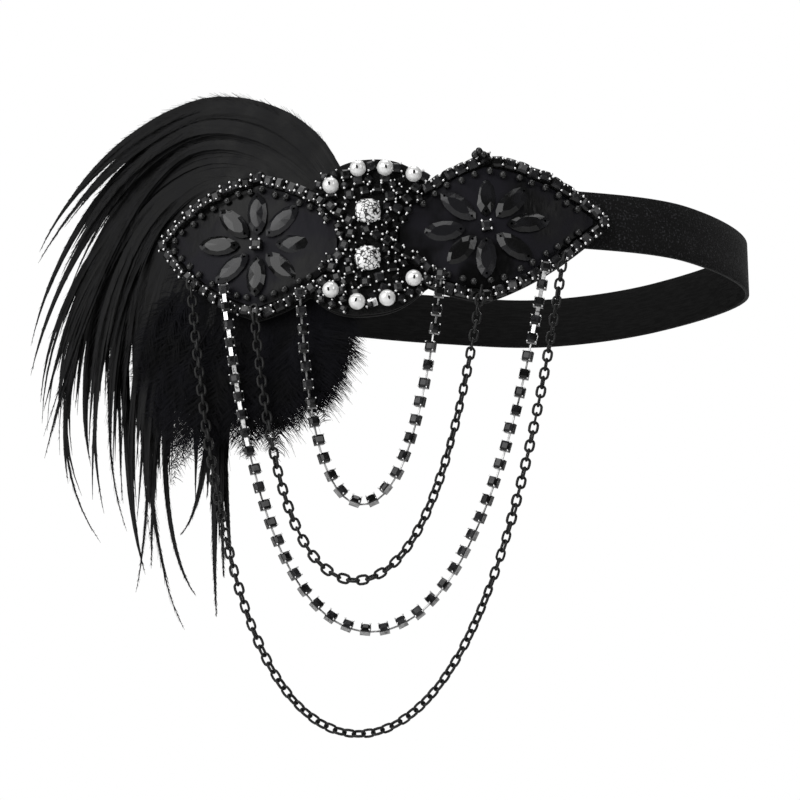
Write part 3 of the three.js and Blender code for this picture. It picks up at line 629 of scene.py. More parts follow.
def discard(*pieces):
    for piece in pieces:
        mesh = piece.data
        bpy.data.objects.remove(piece)
        bpy.data.meshes.remove(mesh)


def finish_piece(piece, nodes):
    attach(piece, "root")
    if nodes:
        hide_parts(*nodes)


# The band

def make_band():
    stations = 288
    rows = 4
    band = added("velvet_band", bpy.ops.mesh.primitive_circle_add, vertices=stations, radius=0.1)
    for index, vertex in enumerate(band.data.vertices):
        point = band_point(index / stations * loop_length)
        vertex.co = Vector((point.x, point.y, -BAND_WIDTH / 2)) * MM
    activate(band)
    bpy.ops.object.mode_set(mode="EDIT")
    bpy.ops.mesh.select_all(action="SELECT")
    for _ in range(rows):
        extrude(BAND_WIDTH / rows)
    leave_edit()
    apply_modifier(band, "SOLIDIFY", thickness=1.35 * MM, offset=0.0, use_even_offset=True)
    face_outwards(band)
    apply_modifier(band, "BEVEL", width=0.4 * MM, segments=2, limit_method="ANGLE")
    coat(band, velvet, elastic)
    for face in band.data.polygons:
        inward = Vector((face.center.x, face.center.y, 0)).dot(face.normal) < 0
        face.material_index = 1 if inward and abs(face.normal.z) < 0.3 else 0
    smooth(band)
    finish_piece(band, ["headband"])


# The felt and the satin

def ornament_sheet(name, ends, columns, rows, height_at, out_at):
    """A grid laid over the ornament from one end to the other, at the height out_at gives."""
    grid = bpy.ops.mesh.primitive_grid_add
    sheet = added(name, grid, x_subdivisions=columns, y_subdivisions=rows, size=2)
    for vertex in sheet.data.vertices:
        s = ends[0] + (ends[1] - ends[0]) * (vertex.co.x + 1) / 2
        share = vertex.co.y
        v = share * max(height_at(s), 0.05)
        vertex.co = on_ornament(s, v, out_at(s, v, share))
    return sheet


def make_felt():
    tip = HALF_LENGTH - TIP_GAP
    backing = ornament_sheet(
        "felt_ornament_back", (-tip, tip), 156, 8, outline_height, lambda s, v, share: FELT_THICKNESS,
    )
    apply_modifier(backing, "SOLIDIFY", thickness=(FELT_THICKNESS - 0.1) * MM, offset=-1.0)
    face_outwards(backing)
    apply_modifier(backing, "BEVEL", width=0.3 * MM, segments=2, limit_method="ANGLE", angle_limit=0.9)
    coat(backing, felt)
    smooth(backing, 50)
    finish_piece(backing, ["felt_backing"])


def make_satin_panel(side, prefix, seed):
    """Satin over thin wadding: its edge rolls down, and it puckers a little round the flower."""
    random.seed(seed)
    waves = [(uniform(0.12, 0.34), uniform(0.1, 0.3), uniform(0, 6.28)) for _ in range(5)]
    inner = WAIST_HALF_WIDTH + CLEARANCE
    outer = HALF_LENGTH - RIM_ROOM * TRIM_REACH - TIP_ROOM

    def out_at(s, v, share):
        puff = 0.55 * smoothstep(7, 16, math.hypot(abs(s) - WING_CENTRE, v * 1.4))
        ripple = sum(math.sin(s * along + v * across + start) for along, across, start in waves) * 0.07
        roll = 0.7 * smoothstep(0.82, 1.0, abs(share)) + 0.7 * smoothstep(outer - 4, outer, abs(s))
        return PANEL_TOP - 0.15 + puff + ripple - roll

    ends = sorted((side * inner, side * outer))
    panel = ornament_sheet(f"{prefix}_satin", ends, 72, 40, lambda s: wing_height(s, RIM_ROOM), out_at)
    apply_modifier(panel, "SOLIDIFY", thickness=0.4 * MM, offset=-1.0)
    face_outwards(panel)
    coat(panel, satin)
    smooth(panel, 60)
    finish_piece(panel, [f"{prefix}_panel"])


# Stones

def make_prong(x, y, height, radius):
    """A round-headed prong whose dot of metal shows beside a stone."""
    prong = add_ball("prong", 8, 6, radius, (x, y, height))
    edit_faces(prong, facing_down)
    extrude(-1.2)
    leave_edit()
    coat(prong, silver)
    smooth(prong, 60)
    return prong


def make_square_stone(size, name, cup_finish, prong_spots):
    """A square jet stone with a bevelled table in its cup; foot at z 0."""
    width = size - 0.15
    stone = add_block(name, (width, width, 0.5), (0, 0, CUP_HEIGHT - 0.25))
    edit_faces(stone, facing_up)
    bpy.ops.mesh.bevel(offset=size * 0.16 * MM, segments=1, affect="VERTICES")
    leave_edit()
    edit_faces(stone, facing_up)
    inset(size * 0.22, 0.6)
    leave_edit()
    coat(stone, jet)
    wall = size - 0.05
    cup = add_block(name + "_cup", (wall, wall, 1.52), (0, 0, 0.76))
    edit_faces(cup, facing_down)
    inset(0.25, 0.12)
    leave_edit()
    coat(cup, cup_finish)
    parts = [stone, cup]
    for x, y, radius in prong_spots:
        parts.append(make_prong(x * size / 2, y * size / 2, CUP_HEIGHT + 0.38, radius))
    return join_all(parts, name)


def rim_places(direction, end_at):
    places = []
    walked = 0.0
    last = (WING_CENTRE, wing_height(WING_CENTRE, RIM_TRIM))
    s = WING_CENTRE
    while direction * (end_at - s) > 0:
        here = (s, wing_height(s, RIM_TRIM))
        walked += math.hypot(here[0] - last[0], here[1] - last[1])
        last = here
        if walked >= CUP_PITCH:
            walked -= CUP_PITCH
            ahead = wing_height(s + 0.5, RIM_TRIM) - wing_height(s - 0.5, RIM_TRIM)
            places.append((s, here[1], math.degrees(math.atan(ahead))))
        s += direction * 0.1
    return places


def rim_row(side):
    tip_at = HALF_LENGTH - RIM_TRIM * TRIM_REACH - TIP_GAP
    inwards = rim_places(-1, WAIST_HALF_WIDTH + CUP_SIZE / 2 + CLEARANCE + WAIST_ROOM[side])[::-1]
    outwards = rim_places(1, tip_at - CUP_PITCH * 0.72)
    upper = inwards + [(WING_CENTRE, wing_height(WING_CENTRE, RIM_TRIM), 0)] + outwards
    lower = [(s, -v, 180 - turn) for s, v, turn in upper][::-1]
    return upper + [(tip_at, 0, -90)] + lower


def make_rim(side, prefix, master):
    name = f"{prefix}_stone_rim"
    random.seed(len(name) + side)
    places = []
    for s, v, turn in rim_row(side):
        tilt = (gauss(0, 0.15), gauss(0, 0.15))
        swing = gauss(0, 7)
        places.append(ornament_place(side * s, v, swing + (turn if side > 0 else 180 - turn), SEAT, tilt))
    rim = copies(master, places, name)
    finish_piece(rim, [f"{prefix}_rim"])


def make_seed_beads(side, prefix):
    """A loose row of round black beads along the inner edge of the rim."""
    random.seed(side + 40)
    name = f"{prefix}_seed_beads"
    bead = add_ball(name + "_one", 10, 7, BEAD_RADIUS)
    edit_faces(bead, lambda face: abs(face.normal.z) > 0.86)
    extrude(0)
    leave_edit()
    for vertex in bead.data.vertices:
        if math.hypot(vertex.co.x, vertex.co.y) < 0.3 * MM:
            vertex.co.z *= 0.55
    coat(bead, bead_glass)
    smooth(bead, 60)
    places = []
    trim = RIM_ROOM + 1.7
    walked = 0.0
    last = None
    s = WAIST_HALF_WIDTH + 5 + WAIST_ROOM[side] * 0.5
    while s < HALF_LENGTH - trim * TRIM_REACH - 1:
        here = (s, wing_height(s, trim))
        walked += math.hypot(here[0] - last[0], here[1] - last[1]) if last else 9
        last = here
        if walked >= BEAD_PITCH:
            walked = uniform(-0.7, 0.7)
            for up in (1, -1):
                lean = (uniform(0.9, 2.2), uniform(-1.2, 1.2))
                spot = (side * (s + gauss(0, 0.3)), up * (here[1] + gauss(0, 0.35)))
                places.append(ornament_place(*spot, uniform(0, 360), PANEL_TOP + BEAD_RADIUS, lean))
        s += 0.1
    if side > 0:
        for s, v, h in BEAD_KNOT:
            places.append(ornament_place(s, v, uniform(0, 360), SEAT + h, (1.4, 0.3)))
    beads = copies(bead, places, name)
    discard(bead)
    finish_piece(beads, [])


def around_crystal(side, turn, radius):
    angle = math.radians(turn)
    return radius * math.cos(angle), side * (CRYSTAL_OFFSET + radius * math.sin(angle))


def point_height(s):
    """Half the height of the satin's pointed inner end; small jets cover the corners beside it."""
    share = min(max((abs(s) - WAIST_HALF_WIDTH + 0.6) / 8.5, 0.0), 1.0)
    return wing_height(s, RIM_ROOM) * share ** 0.6


def fill_places(taken, edge):
    """Places for the smallest jets wherever the middle still has room between what is there."""
    pitch, rows, bottom = 0.7, 75, 26
    columns = int(2 * edge / pitch)
    spots = [(k * pitch - edge, j * pitch - bottom) for k in range(columns) for j in range(rows)]
    random.shuffle(spots)
    found = []
    for s, v in spots:
        on_satin = abs(s) > WAIST_HALF_WIDTH - 1.2 and abs(v) < point_height(s) + 1.1
        if on_satin or abs(v) > fan_height(s) - 1.4 or abs(s) > edge - 1.2:
            continue
        if all(math.hypot(s - x, v - y) > room + SMALL_FILL * 0.5 for x, y, room in taken):
            found.append((s, v))
            taken.append((s, v, SMALL_FILL * 0.6))
    return found


def make_middle_plate(edge):
    """The plate under the middle's stones, cut away where the wings' satin begins."""
    columns, rows = 34, 24
    plate = ornament_sheet(
        "middle_plate", (-edge, edge), columns, rows,
        lambda s: fan_height(s) - CLEARANCE,
        lambda s, v, share: PLATE_TOP,
    )

    def beside_wing(face):
        along = sum(index % (columns + 1) for index in face.vertices) / 4
        up = sum(index // (columns + 1) for index in face.vertices) / 4
        s = edge * (along / (columns / 2) - 1)
        v = abs(up / (rows / 2) - 1) * (fan_height(s) - CLEARANCE)
        return abs(s) > WAIST_HALF_WIDTH and v < wing_height(s) + CLEARANCE

    edit_faces(plate, beside_wing)
    bpy.ops.mesh.delete(type="FACE")
    leave_edit()
    apply_modifier(plate, "SOLIDIFY", thickness=PLATE * MM, offset=-1.0)
    face_outwards(plate)
    coat(plate, felt)
    return plate


def make_middle(small_master, tiny_master, open_cup):
    """The plate of the middle with its loose stones, and an open setting that lost its stone."""
    random.seed(7)
    edge = FAN_HALF_WIDTH - 0.2
    plate = make_middle_plate(edge)
    spots = [(s, v, 0.0) for s, v in LOOSE_STONES]
    for first, last, count in WAIST_ROWS:
        turn = math.degrees(math.atan2(last[1] - first[1], last[0] - first[0]))
        for k in range(count):
            part = k / (count - 1)
            s, v = [a + (b - a) * part for a, b in zip(first, last)]
            spots.append((s, v, turn))
    taken = [(s, v, 1.7) for s, v, turn in spots]
    taken += [(0, side * CRYSTAL_OFFSET, CRYSTAL_RADIUS + 0.4) for side in (1, -1)]
    for side, turn, reach in PEARL_FAN:
        taken.append((*around_crystal(side, turn, reach * FAN_HALF_WIDTH), PEARL / 2))
    for side, _ in SIDES:
        taken += [(side * s, v, 1.75) for s, v, turn in rim_row(side) if s < edge + 3]
    fill = fill_places(taken, edge)
    places = []
    for s, v, turn in spots:
        over_satin = abs(s) > WAIST_HALF_WIDTH and abs(v) < wing_height(s, RIM_ROOM)
        seat = PANEL_TOP - 0.2 if over_satin else PLATE_TOP - 0.1
        tilt = (gauss(0, 0.1), gauss(0, 0.1))
        places.append(ornament_place(s, v, turn + gauss(0, 9), seat, tilt))
    stones = copies(small_master, places, "loose_stones")
    tiny_places = []
    for s, v in fill:
        tilt = (gauss(0, 0.12), gauss(0, 0.12))
        tiny_places.append(ornament_place(s, v, uniform(0, 90), PLATE_TOP - 0.1, tilt))
    tiny = copies(tiny_master, tiny_places, "fill_stones")
    turned = Matrix.Rotation(math.radians(56), 4, "X")
    setting_place = ornament_place(*OPEN_SETTING, 24, PLATE_TOP + 1.3) @ turned
    setting = copies(open_cup, [setting_place], "open_setting")
    whole = join_all([plate, stones, tiny, setting], "middle_stones")
    finish_piece(whole, ["centre_stones"])


def make_open_cup():
    """A thin square cup with nothing in it."""
    cup = add_block("open_cup", (2.7, 2.7, 1.2))
    edit_faces(cup, facing_up)
    inset(0.22)
    extrude(-1.0)
    leave_edit()
    coat(cup, silver)
    return cup


def make_crystals():
    for prefix, v in (("upper", 1), ("lower", -1)):
        name = f"{prefix}_crystal_painted_glints"
        random.seed(90 + v)
        stone = add_ball(name, 14, 9, CRYSTAL_RADIUS)
        edit_faces(stone, every_face)
        bpy.ops.mesh.bisect(plane_co=(0, 0, 0.2 * MM), plane_no=(0, 0, 1), use_fill=True, clear_inner=True)
        leave_edit()
        for vertex in stone.data.vertices:
            reach = math.hypot(vertex.co.x, vertex.co.y)
            square = 1.0 + 0.09 * abs(math.sin(2 * math.atan2(vertex.co.y, vertex.co.x)))
            loose = 0 if vertex.co.z < 1.2 * MM else 0.18 * MM
            lift = 0.5 * MM * (reach < 2.2 * MM)
            vertex.co.x = vertex.co.x * square + uniform(-loose, loose)
            vertex.co.y = vertex.co.y * square + uniform(-loose, loose)
            vertex.co.z = vertex.co.z * 0.62 + uniform(-loose, loose) * 0.5 + lift
        coat(stone, crystal_painted_glints)
        seat = add_rod(name + "_seat", 20, CRYSTAL_RADIUS * 0.96, 1.3, (0, 0, -0.45))
        edit_faces(seat, lambda face: abs(face.normal.z) > 0.9)
        bpy.ops.mesh.bevel(offset=0.15 * MM, segments=1)
        leave_edit()
        coat(seat, silver)
        parts = [stone, seat]
        for turn in (38, 140, 222, 318):
            angle = math.radians(turn)
            reach = CRYSTAL_RADIUS * 1.12
            parts.append(make_prong(reach * math.cos(angle), reach * math.sin(angle), 0.35, 0.36))
        whole = join_all(parts, name)
        foot = PLATE_TOP + PLINTH + CLEARANCE
        whole.data.transform(ornament_place(0, v * CRYSTAL_OFFSET, 0, foot + 0.9))
        finish_piece(whole, [f"{prefix}_crystal"])


def make_pearls():
    """Round pearls, sewn on through a narrow hole that faces out, lined with black glass as a painted dark
    reflection in each pearl's middle.
    """
    random.seed(21)
    pearl = add_ball("one_pearl", 32, 20, PEARL / 2)
    coat(pearl, pearl_coat, bead_glass)
    edit_faces(pearl, lambda face: face.normal.z > 0.96)
    bpy.ops.transform.resize(value=(0.5, 0.85, 1), center_override=(0, 0, PEARL / 2 * MM))
    inset(0.03)
    extrude(-0.7)
    # The hole's faces take the black bead glass: a painted dark reflection, darker than the hole's depth
    # alone makes it
    pearl.active_material_index = 1
    bpy.ops.object.material_slot_assign()
    leave_edit()
    smooth(pearl, 50)
    for index, (side, turn, reach) in enumerate(PEARL_FAN):
        s, v = around_crystal(side, turn, reach * FAN_HALF_WIDTH)
        lean = (0.12 + uniform(-0.1, 0.1), uniform(-0.12, 0.12))
        place = ornament_place(s, v, uniform(-20, 20), PLATE_TOP + CLEARANCE + PEARL / 2, lean)
        whole = copies(pearl, [place], f"round_pearl_{index + 1}")
        finish_piece(whole, [f"pearl_{index + 1}"])
    discard(pearl)


def make_petal_master(dome):
    """A navette stone lying along x from 0, with a bevelled edge and a faceted dome or a flat table."""
    outline = [(0, 0), (0.09, 0.24), (0.26, 0.43), (0.5, 0.5), (0.74, 0.43), (0.91, 0.24), (1, 0)]
    outline += [(x, -y) for x, y in outline[-2:0:-1]]
    circle = bpy.ops.mesh.primitive_circle_add
    petal = added("one_petal", circle, vertices=len(outline), radius=1, fill_type="NGON")
    for vertex, (x, y) in zip(petal.data.vertices, outline):
        vertex.co = (x * PETAL_LENGTH * MM, -y * PETAL_WIDTH * MM, 0)
    edit_faces(petal, every_face)
    extrude(0.45)
    leave_edit()
    face_outwards(petal)
    edit_faces(petal, facing_up)
    inset(1.05 if dome else 1.45, 0.85)
    leave_edit()
    top = max(filter(facing_up, petal.data.polygons), key=lambda face: face.center.z)
    middle = PETAL_LENGTH / 2 * MM
    for index in top.vertices:
        vertex = petal.data.vertices[index]
        vertex.co.x = middle + (vertex.co.x - middle) * 0.82
    if dome:
        edit_faces(petal, lambda face: facing_up(face) and face.center.z > 1.2 * MM)
        bpy.ops.mesh.poke(offset=dome * MM)
        leave_edit()
    for end in (0.11, 0.89):
        drill = add_rod("drill", 10, 0.42, 6, (end * PETAL_LENGTH, 0, 0))
        apply_modifier(petal, "BOOLEAN", operation="DIFFERENCE", object=drill)
        discard(drill)
    petal.data.materials.clear()
    coat(petal, petal_stone)
    return petal


def make_flower(side, prefix, petal, centre_stone):
    random.seed(60 + side)
    centre = side * WING_CENTRE
    for index, (turn, gap) in enumerate(FLOWER):
        angle = math.radians(turn)
        reach = gap * PETAL_LENGTH
        tilt = (gauss(0, 0.08), gauss(0, 0.05))
        place = ornament_place(
            centre + reach * math.cos(angle), reach * math.sin(angle), turn, PETAL_SEAT, tilt,
        )
        piece = copies(petal, [place], f"{prefix}_flower_petal_{index + 1}")
        finish_piece(piece, [f"{prefix}_petal_{index + 1}"])
    stone = copies(centre_stone, [ornament_place(centre, 0, 0, PETAL_SEAT)], f"{prefix}_flower_centre")
    finish_piece(stone, [f"{prefix}_flower_stone"])


# The hanging chains

class HangingCurve:
    """A chain of a given length hung between two points, swung a little towards the plume."""

    STEPS = 600

    def __init__(self, start, end, length):
        self.start = start / MM
        run = (end - start) / MM
        self.span = math.hypot(run.x, run.y)
        self.direction = Vector((run.x / self.span, run.y / self.span, 0))
        self.length = max(length, math.hypot(self.span, run.z) * 1.02)
        flat = math.sqrt(self.length ** 2 - run.z ** 2)
        low, high = self.span / 40, self.span * 40
        for _ in range(80):
            middle = (low + high) / 2
            if flat - 2 * middle * math.sinh(self.span / (2 * middle)) > 0:
                high = middle
            else:
                low = middle
        self.scale = (low + high) / 2
        slope = math.log((self.length + run.z) / (self.length - run.z))
        self.lowest = (self.span - self.scale * slope) / 2
        self.points = [self.raw(index / self.STEPS) for index in range(self.STEPS + 1)]
        self.runs = running_lengths(self.points)

    def raw(self, t):
        along = t * self.length
        low = self.lowest / self.scale
        across = self.scale * math.asinh(along / self.scale + math.sinh(-low)) + self.lowest
        height = self.scale * (math.cosh((across - self.lowest) / self.scale) - math.cosh(low))
        point = self.start + self.direction * (across + CHAIN_SWING * height)
        return Vector((point.x, point.y, point.z + height))

    def at(self, share):
        low, part = find_step(self.runs, share * self.runs[-1])
        point = self.points[low].lerp(self.points[low + 1], part)
        tangent = (self.points[min(low + 2, self.STEPS)] - self.points[max(low - 1, 0)]).normalized()
        return point * MM, tangent


def chain_curve(name, stand):
    length, left, right = CHAINS[name]
    ends = []
    for along, up in (left, right):
        s = along * HALF_LENGTH
        ends.append(on_ornament(s, up * wing_height(s), STONE_TABLE + stand))
    return HangingCurve(ends[0], ends[1], length)


def chain_place(curve, share, roll):
    """The place of a cup or link: x along the chain, z out, rolled about the chain."""
    point, along = curve.at(share)
    return place_from(point, along, outward_of(curve.direction)) @ Matrix.Rotation(roll, 4, "X")


def make_bar(name, length, width, height, finish):
    """A flat bar between two cups, its edges eased."""
    bar = add_block(name, (length, width, 0.35), (0, 0, height))
    edit_faces(bar, every_face)
    bpy.ops.mesh.bevel(offset=0.08 * MM, segments=1)
    leave_edit()
    coat(bar, finish)
    return bar


def make_cup_chain(name, piece_name, master, seed, painted_shine_share):
    """Cups joined by bars; over a share of the way from the left, and a shorter run at the right, the bars
    lie flat, wider, in bright silver plating instead of the chain's dull plating: a painted shine.
    """
    random.seed(seed)
    curve = chain_curve(name, CHAIN_STAND)
    count = round(curve.length / CHAIN_CUP_PITCH)
    places, painted_shine_places, bar_places = [], [], []
    for index in range(count + 1):
        share = index / count
        hang = smoothstep(0.12, 0.4, share) * smoothstep(0.12, 0.4, 1 - share)
        roll = -(0.1 + 0.62 * hang) + gauss(0, 0.12)
        places.append(chain_place(curve, share, roll))
        middle = (index + 0.5) / count
        if index == count:
            continue
        if middle < painted_shine_share or middle > 1 - painted_shine_share * RIGHT_PAINTED_SHINE_SHARE:
            painted_shine_places.append(chain_place(curve, middle, gauss(0, 0.1)))
        else:
            bar_places.append(chain_place(curve, middle, roll * 0.9))
    thin_bar = make_bar("thin_bar", 3.4, 0.6, 0.35, chain_metal)
    # Painted shine: the chain's own bars in bright silver plating instead of its dull plating
    wide_painted_shine_bar = make_bar("wide_painted_shine_bar", 3.8, 1.3, 1.5, silver)
    parts = [copies(master, places, piece_name), copies(thin_bar, bar_places, "bars")]
    if painted_shine_places:
        parts.append(copies(wide_painted_shine_bar, painted_shine_places, "painted_shine_bars"))
    discard(thin_bar, wide_painted_shine_bar)
    chain = join_all(parts, piece_name)
    finish_piece(chain, [name])


def make_cable_chain(name, piece_name, seed):
    random.seed(seed)
    curve = chain_curve(name, CHAIN_STAND + LINK_STAND)
    count = round(curve.length / LINK_PITCH)
    link = added(
        name + "_link", bpy.ops.mesh.primitive_torus_add,
        major_segments=16, minor_segments=6, major_radius=1.25 * MM, minor_radius=0.43 * MM,
    )
    for vertex in link.data.vertices:
        vertex.co.x += math.copysign(0.55 * MM, vertex.co.x) if abs(vertex.co.x) > 0.05 * MM else 0
    coat(link, gunmetal)
    smooth(link, 80)
    places = []
    for index in range(count + 1):
        share = index / count
        twist = 0.25 + 0.5 * math.sin(share * 7 + seed)
        roll = twist + (math.pi / 2 if index % 2 else 0) + gauss(0, 0.12)
        places.append(chain_place(curve, share, roll))
    chain = copies(link, places, piece_name)
    discard(link)
    finish_piece(chain, [name])


# The feathers

def bezier(points, t):
    a, b, c, d = points
    u = 1 - t
    return [a[k] * u ** 3 + 3 * b[k] * u * u * t + 3 * c[k] * u * t * t + d[k] * t ** 3 for k in (0, 1)]


class Strips:
    """Collects thin ribbons laid between two lines, which is what vanes, barbs and shafts are."""

    def __init__(self):
        self.points = []
        self.faces = []

    def between(self, one_line, other_line):
        first = len(self.points)
        for one, other in zip(one_line, other_line):
            self.points.append(one)
            self.points.append(other)
        for index in range(len(one_line) - 1):
            at = first + index * 2
            self.faces.append((at, at + 1, at + 3, at + 2))

    def add(self, spine, widths, side_way):
        left = [point - side_way * width / 2 for point, width in zip(spine, widths)]
        right = [point + side_way * width / 2 for point, width in zip(spine, widths)]
        self.between(left, right)

    def object(self, name, material):
        mesh = bpy.data.meshes.new(name)
        mesh.from_pydata([tuple(point) for point in self.points], [], self.faces)
        mesh.validate()
        piece = bpy.data.objects.new(name, mesh)
        bpy.context.scene.collection.objects.link(piece)
        coat(piece, material)
        for face in mesh.polygons:
            face.use_smooth = True
        return piece


def held_thin(across, up, depth):
    """True where the felt in front or the band behind keeps a feather flat."""
    room = 4
    if depth > 0:
        return across < HALF_LENGTH and abs(up - middle_height(-across)) < outline_height(-across) + room
    return across < HALF_LENGTH + 22 and abs(up) < BAND_WIDTH / 2 + room


class FeatherPath:
    """The way of one feather: pressed flat where the headband holds it, then free at its depth."""

    def __init__(self, path, depth):
        self.path = path
        self.depth = depth
        self.free = 0.0
        steps = 25
        for k in range(steps + 1):
            x, y = bezier(path, k / steps)
            if held_thin(x, y, depth):
                self.free = k / steps

    def spot(self, t):
        """Place, depth and heading at t."""
        x, y = bezier(self.path, t)
        x1, y1 = bezier(self.path, min(t + 0.01, 1.0))
        x0, y0 = bezier(self.path, max(t - 0.01, 0.0))
        run = math.hypot(x1 - x0, y1 - y0) or 1
        out = self.depth * smoothstep(self.free, min(self.free + 0.3, 1.0), t)
        return x, y, out, (x1 - x0) / run, (y1 - y0) / run


def lay_vane(strips, way, kind):
    """The blade of a hackle: two narrow halves that meet in a low ridge and end in a fine point."""
    stations = kind["stations"]
    roll = gauss(0, kind["roll"])
    spine, left, right = [], [], []
    for k in range(stations):
        share = k / (stations - 1)
        x, y, out, ax, ay = way.spot(share * kind["reach"])
        full = kind["vane"] * min(1.0, 0.45 + share * 2.2)
        wide = full * (1 - share ** kind["point"]) * uniform(0.93, 1.07)
        tilt = roll * min(1.0, abs(out) / 3 + 0.1)
        spine.append(on_plume(x, y, out + 0.12))
        left.append(on_plume(x - ay * wide, y + ax * wide, out - tilt * wide))
        right.append(on_plume(x + ay * wide, y - ax * wide, out + tilt * wide))
    strips.between(left, spine)
    strips.between(spine, right)


def plume_facing(x, y, out):
    return (on_plume(x, y, out + 1) - on_plume(x, y, out)).normalized()


def lay_shaft(strips, way, kind):
    spine, widths = [], []
    steps = 13
    for k in range(steps + 1):
        share = k / steps
        x, y, out, _, _ = way.spot(share * kind["reach"])
        spine.append(on_plume(x, y, out + 0.1))
        widths.append(kind["shaft"] * (1 - share * 0.85) * MM)
    strips.add(spine, widths, (spine[-1] - spine[0]).cross(plume_facing(x, y, out)).normalized())


def lay_barbs(strips, way, kind):
    """Barbs on both sides of a feather, leaning towards its tip."""
    first, last, count = kind["from"], kind["reach"], kind["barbs"]
    facing = plume_facing(*way.spot(last)[:3])
    for k in range(count):
        t = first + (k + random.random()) / count * (last - first - 0.01)
        x, y, out, ax, ay = way.spot(t)
        left_to_go = (last - t) / last
        full = kind["half_width"] * min(1.0, left_to_go * kind["taper"] + 0.08) * min(1.0, 0.4 + t * 3)
        thin = min(1.0, abs(out) / 2 + 0.15)
        for side in (1, -1):
            lateral = full * uniform(0.65, 1.2)
            forward = lateral / math.tan(kind["lean"] * uniform(0.75, 1.25))
            curl = kind["curl"] * uniform(-1, 1)
            lift = uniform(-1, 1) * kind["lift"] * thin
            barb, spans = [], []
            for j in range(kind["steps"] + 1):
                r = j / kind["steps"]
                ahead = forward * r
                away = side * lateral * r ** 0.85 + curl * math.sin(2.6 * r)
                barb.append(on_plume(x + ax * ahead - ay * away, y + ay * ahead + ax * away, out + lift * r))
                spans.append(kind["barb"] * (1 - 0.8 * r) * MM)
            roll = facing + Vector((gauss(0, 0.3), gauss(0, 0.3), gauss(0, 0.3)))
            strips.add(barb, spans, (barb[-1] - barb[0]).cross(roll).normalized())


# Hackles from the outermost over the top to the innermost: root, two bends and tip as distance
# to the left and height, then how far the feather stands forward
HACKLES = [
    (((8, 3), (18, 59), (112, 49), (140, 8)), -1),
    (((9, 3), (31, 61), (105, 40), (138, 3)), 1),
    (((9, 3), (41, 67), (128, 37), (145, -25)), -3),
    (((9, 1), (47, 66), (122, 17), (137, -38)), 3),
    (((10, 1), (70, 70), (119, 16), (139, -49)), -5),
    (((11, 1), (74, 68), (111, -12), (129, -68)), 2),
    (((11, 1), (64, 65), (139, -19), (121, -77)), -2),
    (((11, 0), (71, 66), (172, -35), (108, -98)), -6),
    (((11, 0), (62, 52), (134, -10), (112, -72)), -4),
    (((11, 0), (80, 56), (133, -21), (108, -88)), -7),
    (((11, -1), (81, 56), (123, -40), (92, -96)), -3),
    (((12, -1), (96, 59), (113, -56), (88, -110)), -8),
    (((12, -1), (99, 55), (77, -74), (89, -116)), -5),
    (((12, -1), (96, 54), (102, -91), (70, -129)), -9),
    (((13, -2), (80, 45), (82, -75), (81, -109)), -4),
    (((14, -3), (81, 44), (95, -89), (63, -119)), -7),
    (((15, -3), (64, 29), (46, -83), (70, -99)), -6),
    (((16, -4), (69, 24), (56, -106), (54, -126)), -8),
    (((16, -4), (61, 16), (50, -95), (49, -114)), -5),
]

# Marabou plumes from right to left: root, middle and tip
MARABOU = [
    ((19, -13), (13, -30), (9, -50)), ((19, -13), (14, -37), (8, -60)), ((20, -13), (16, -41), (11, -65)),
    ((21, -13), (19, -43), (17, -68)), ((22, -13), (23, -44), (23, -69)), ((24, -12), (27, -46), (27, -77)),
    ((27, -12), (32, -47), (34, -79)), ((29, -12), (37, -46), (40, -78)), ((31, -12), (42, -46), (46, -79)),
    ((33, -12), (47, -46), (53, -80)), ((35, -12), (53, -46), (61, -83)), ((37, -12), (59, -43), (70, -86)),
    ((42, -8), (66, -33), (80, -64)), ((47, -4), (72, -22), (86, -44)),
]

HACKLE = {
    "reach": 1.0, "vane": 1.8, "point": 4.0, "stations": 34, "roll": 0.3, "from": 0.1,
    "half_width": 2.1, "taper": 2.4, "lean": 0.26, "curl": 0.1, "lift": 0.4, "steps": 1, "barb": 0.26,
    "barbs": 190,
}
MARABOU_PLUME = {
    "shaft": 0.3, "from": 0.04, "half_width": 7.0, "taper": 5.0, "lean": 0.75, "curl": 1.5,
    "lift": 2.4, "steps": 2, "barb": 0.29, "barbs": 120,
}

# How many feathers of each kind there are; the first of the wide ones stay near the root
COMPANIONS = 3
SHORT_HACKLES = 330
UPPER_HACKLES = 75
WIDE_HACKLES = 130
WIDE_AT_ROOT = 70
MARABOU_PLUMES = 128


def between(rows, place):
    """A path between two neighbouring paths of a table."""
    first = min(int(place), len(rows) - 2)
    part = place - first
    pairs = zip(rows[first], rows[first + 1])
    return [(a[0] + (b[0] - a[0]) * part, a[1] + (b[1] - a[1]) * part) for a, b in pairs]


def shaken(path, amounts):
    return [(x + gauss(0, a), y + gauss(0, a)) for (x, y), a in zip(path, amounts)]


def lay_hackle(strips, kind, path, depth):
    way = FeatherPath(path, depth)
    lay_vane(strips, way, kind)
    lay_barbs(strips, way, kind)


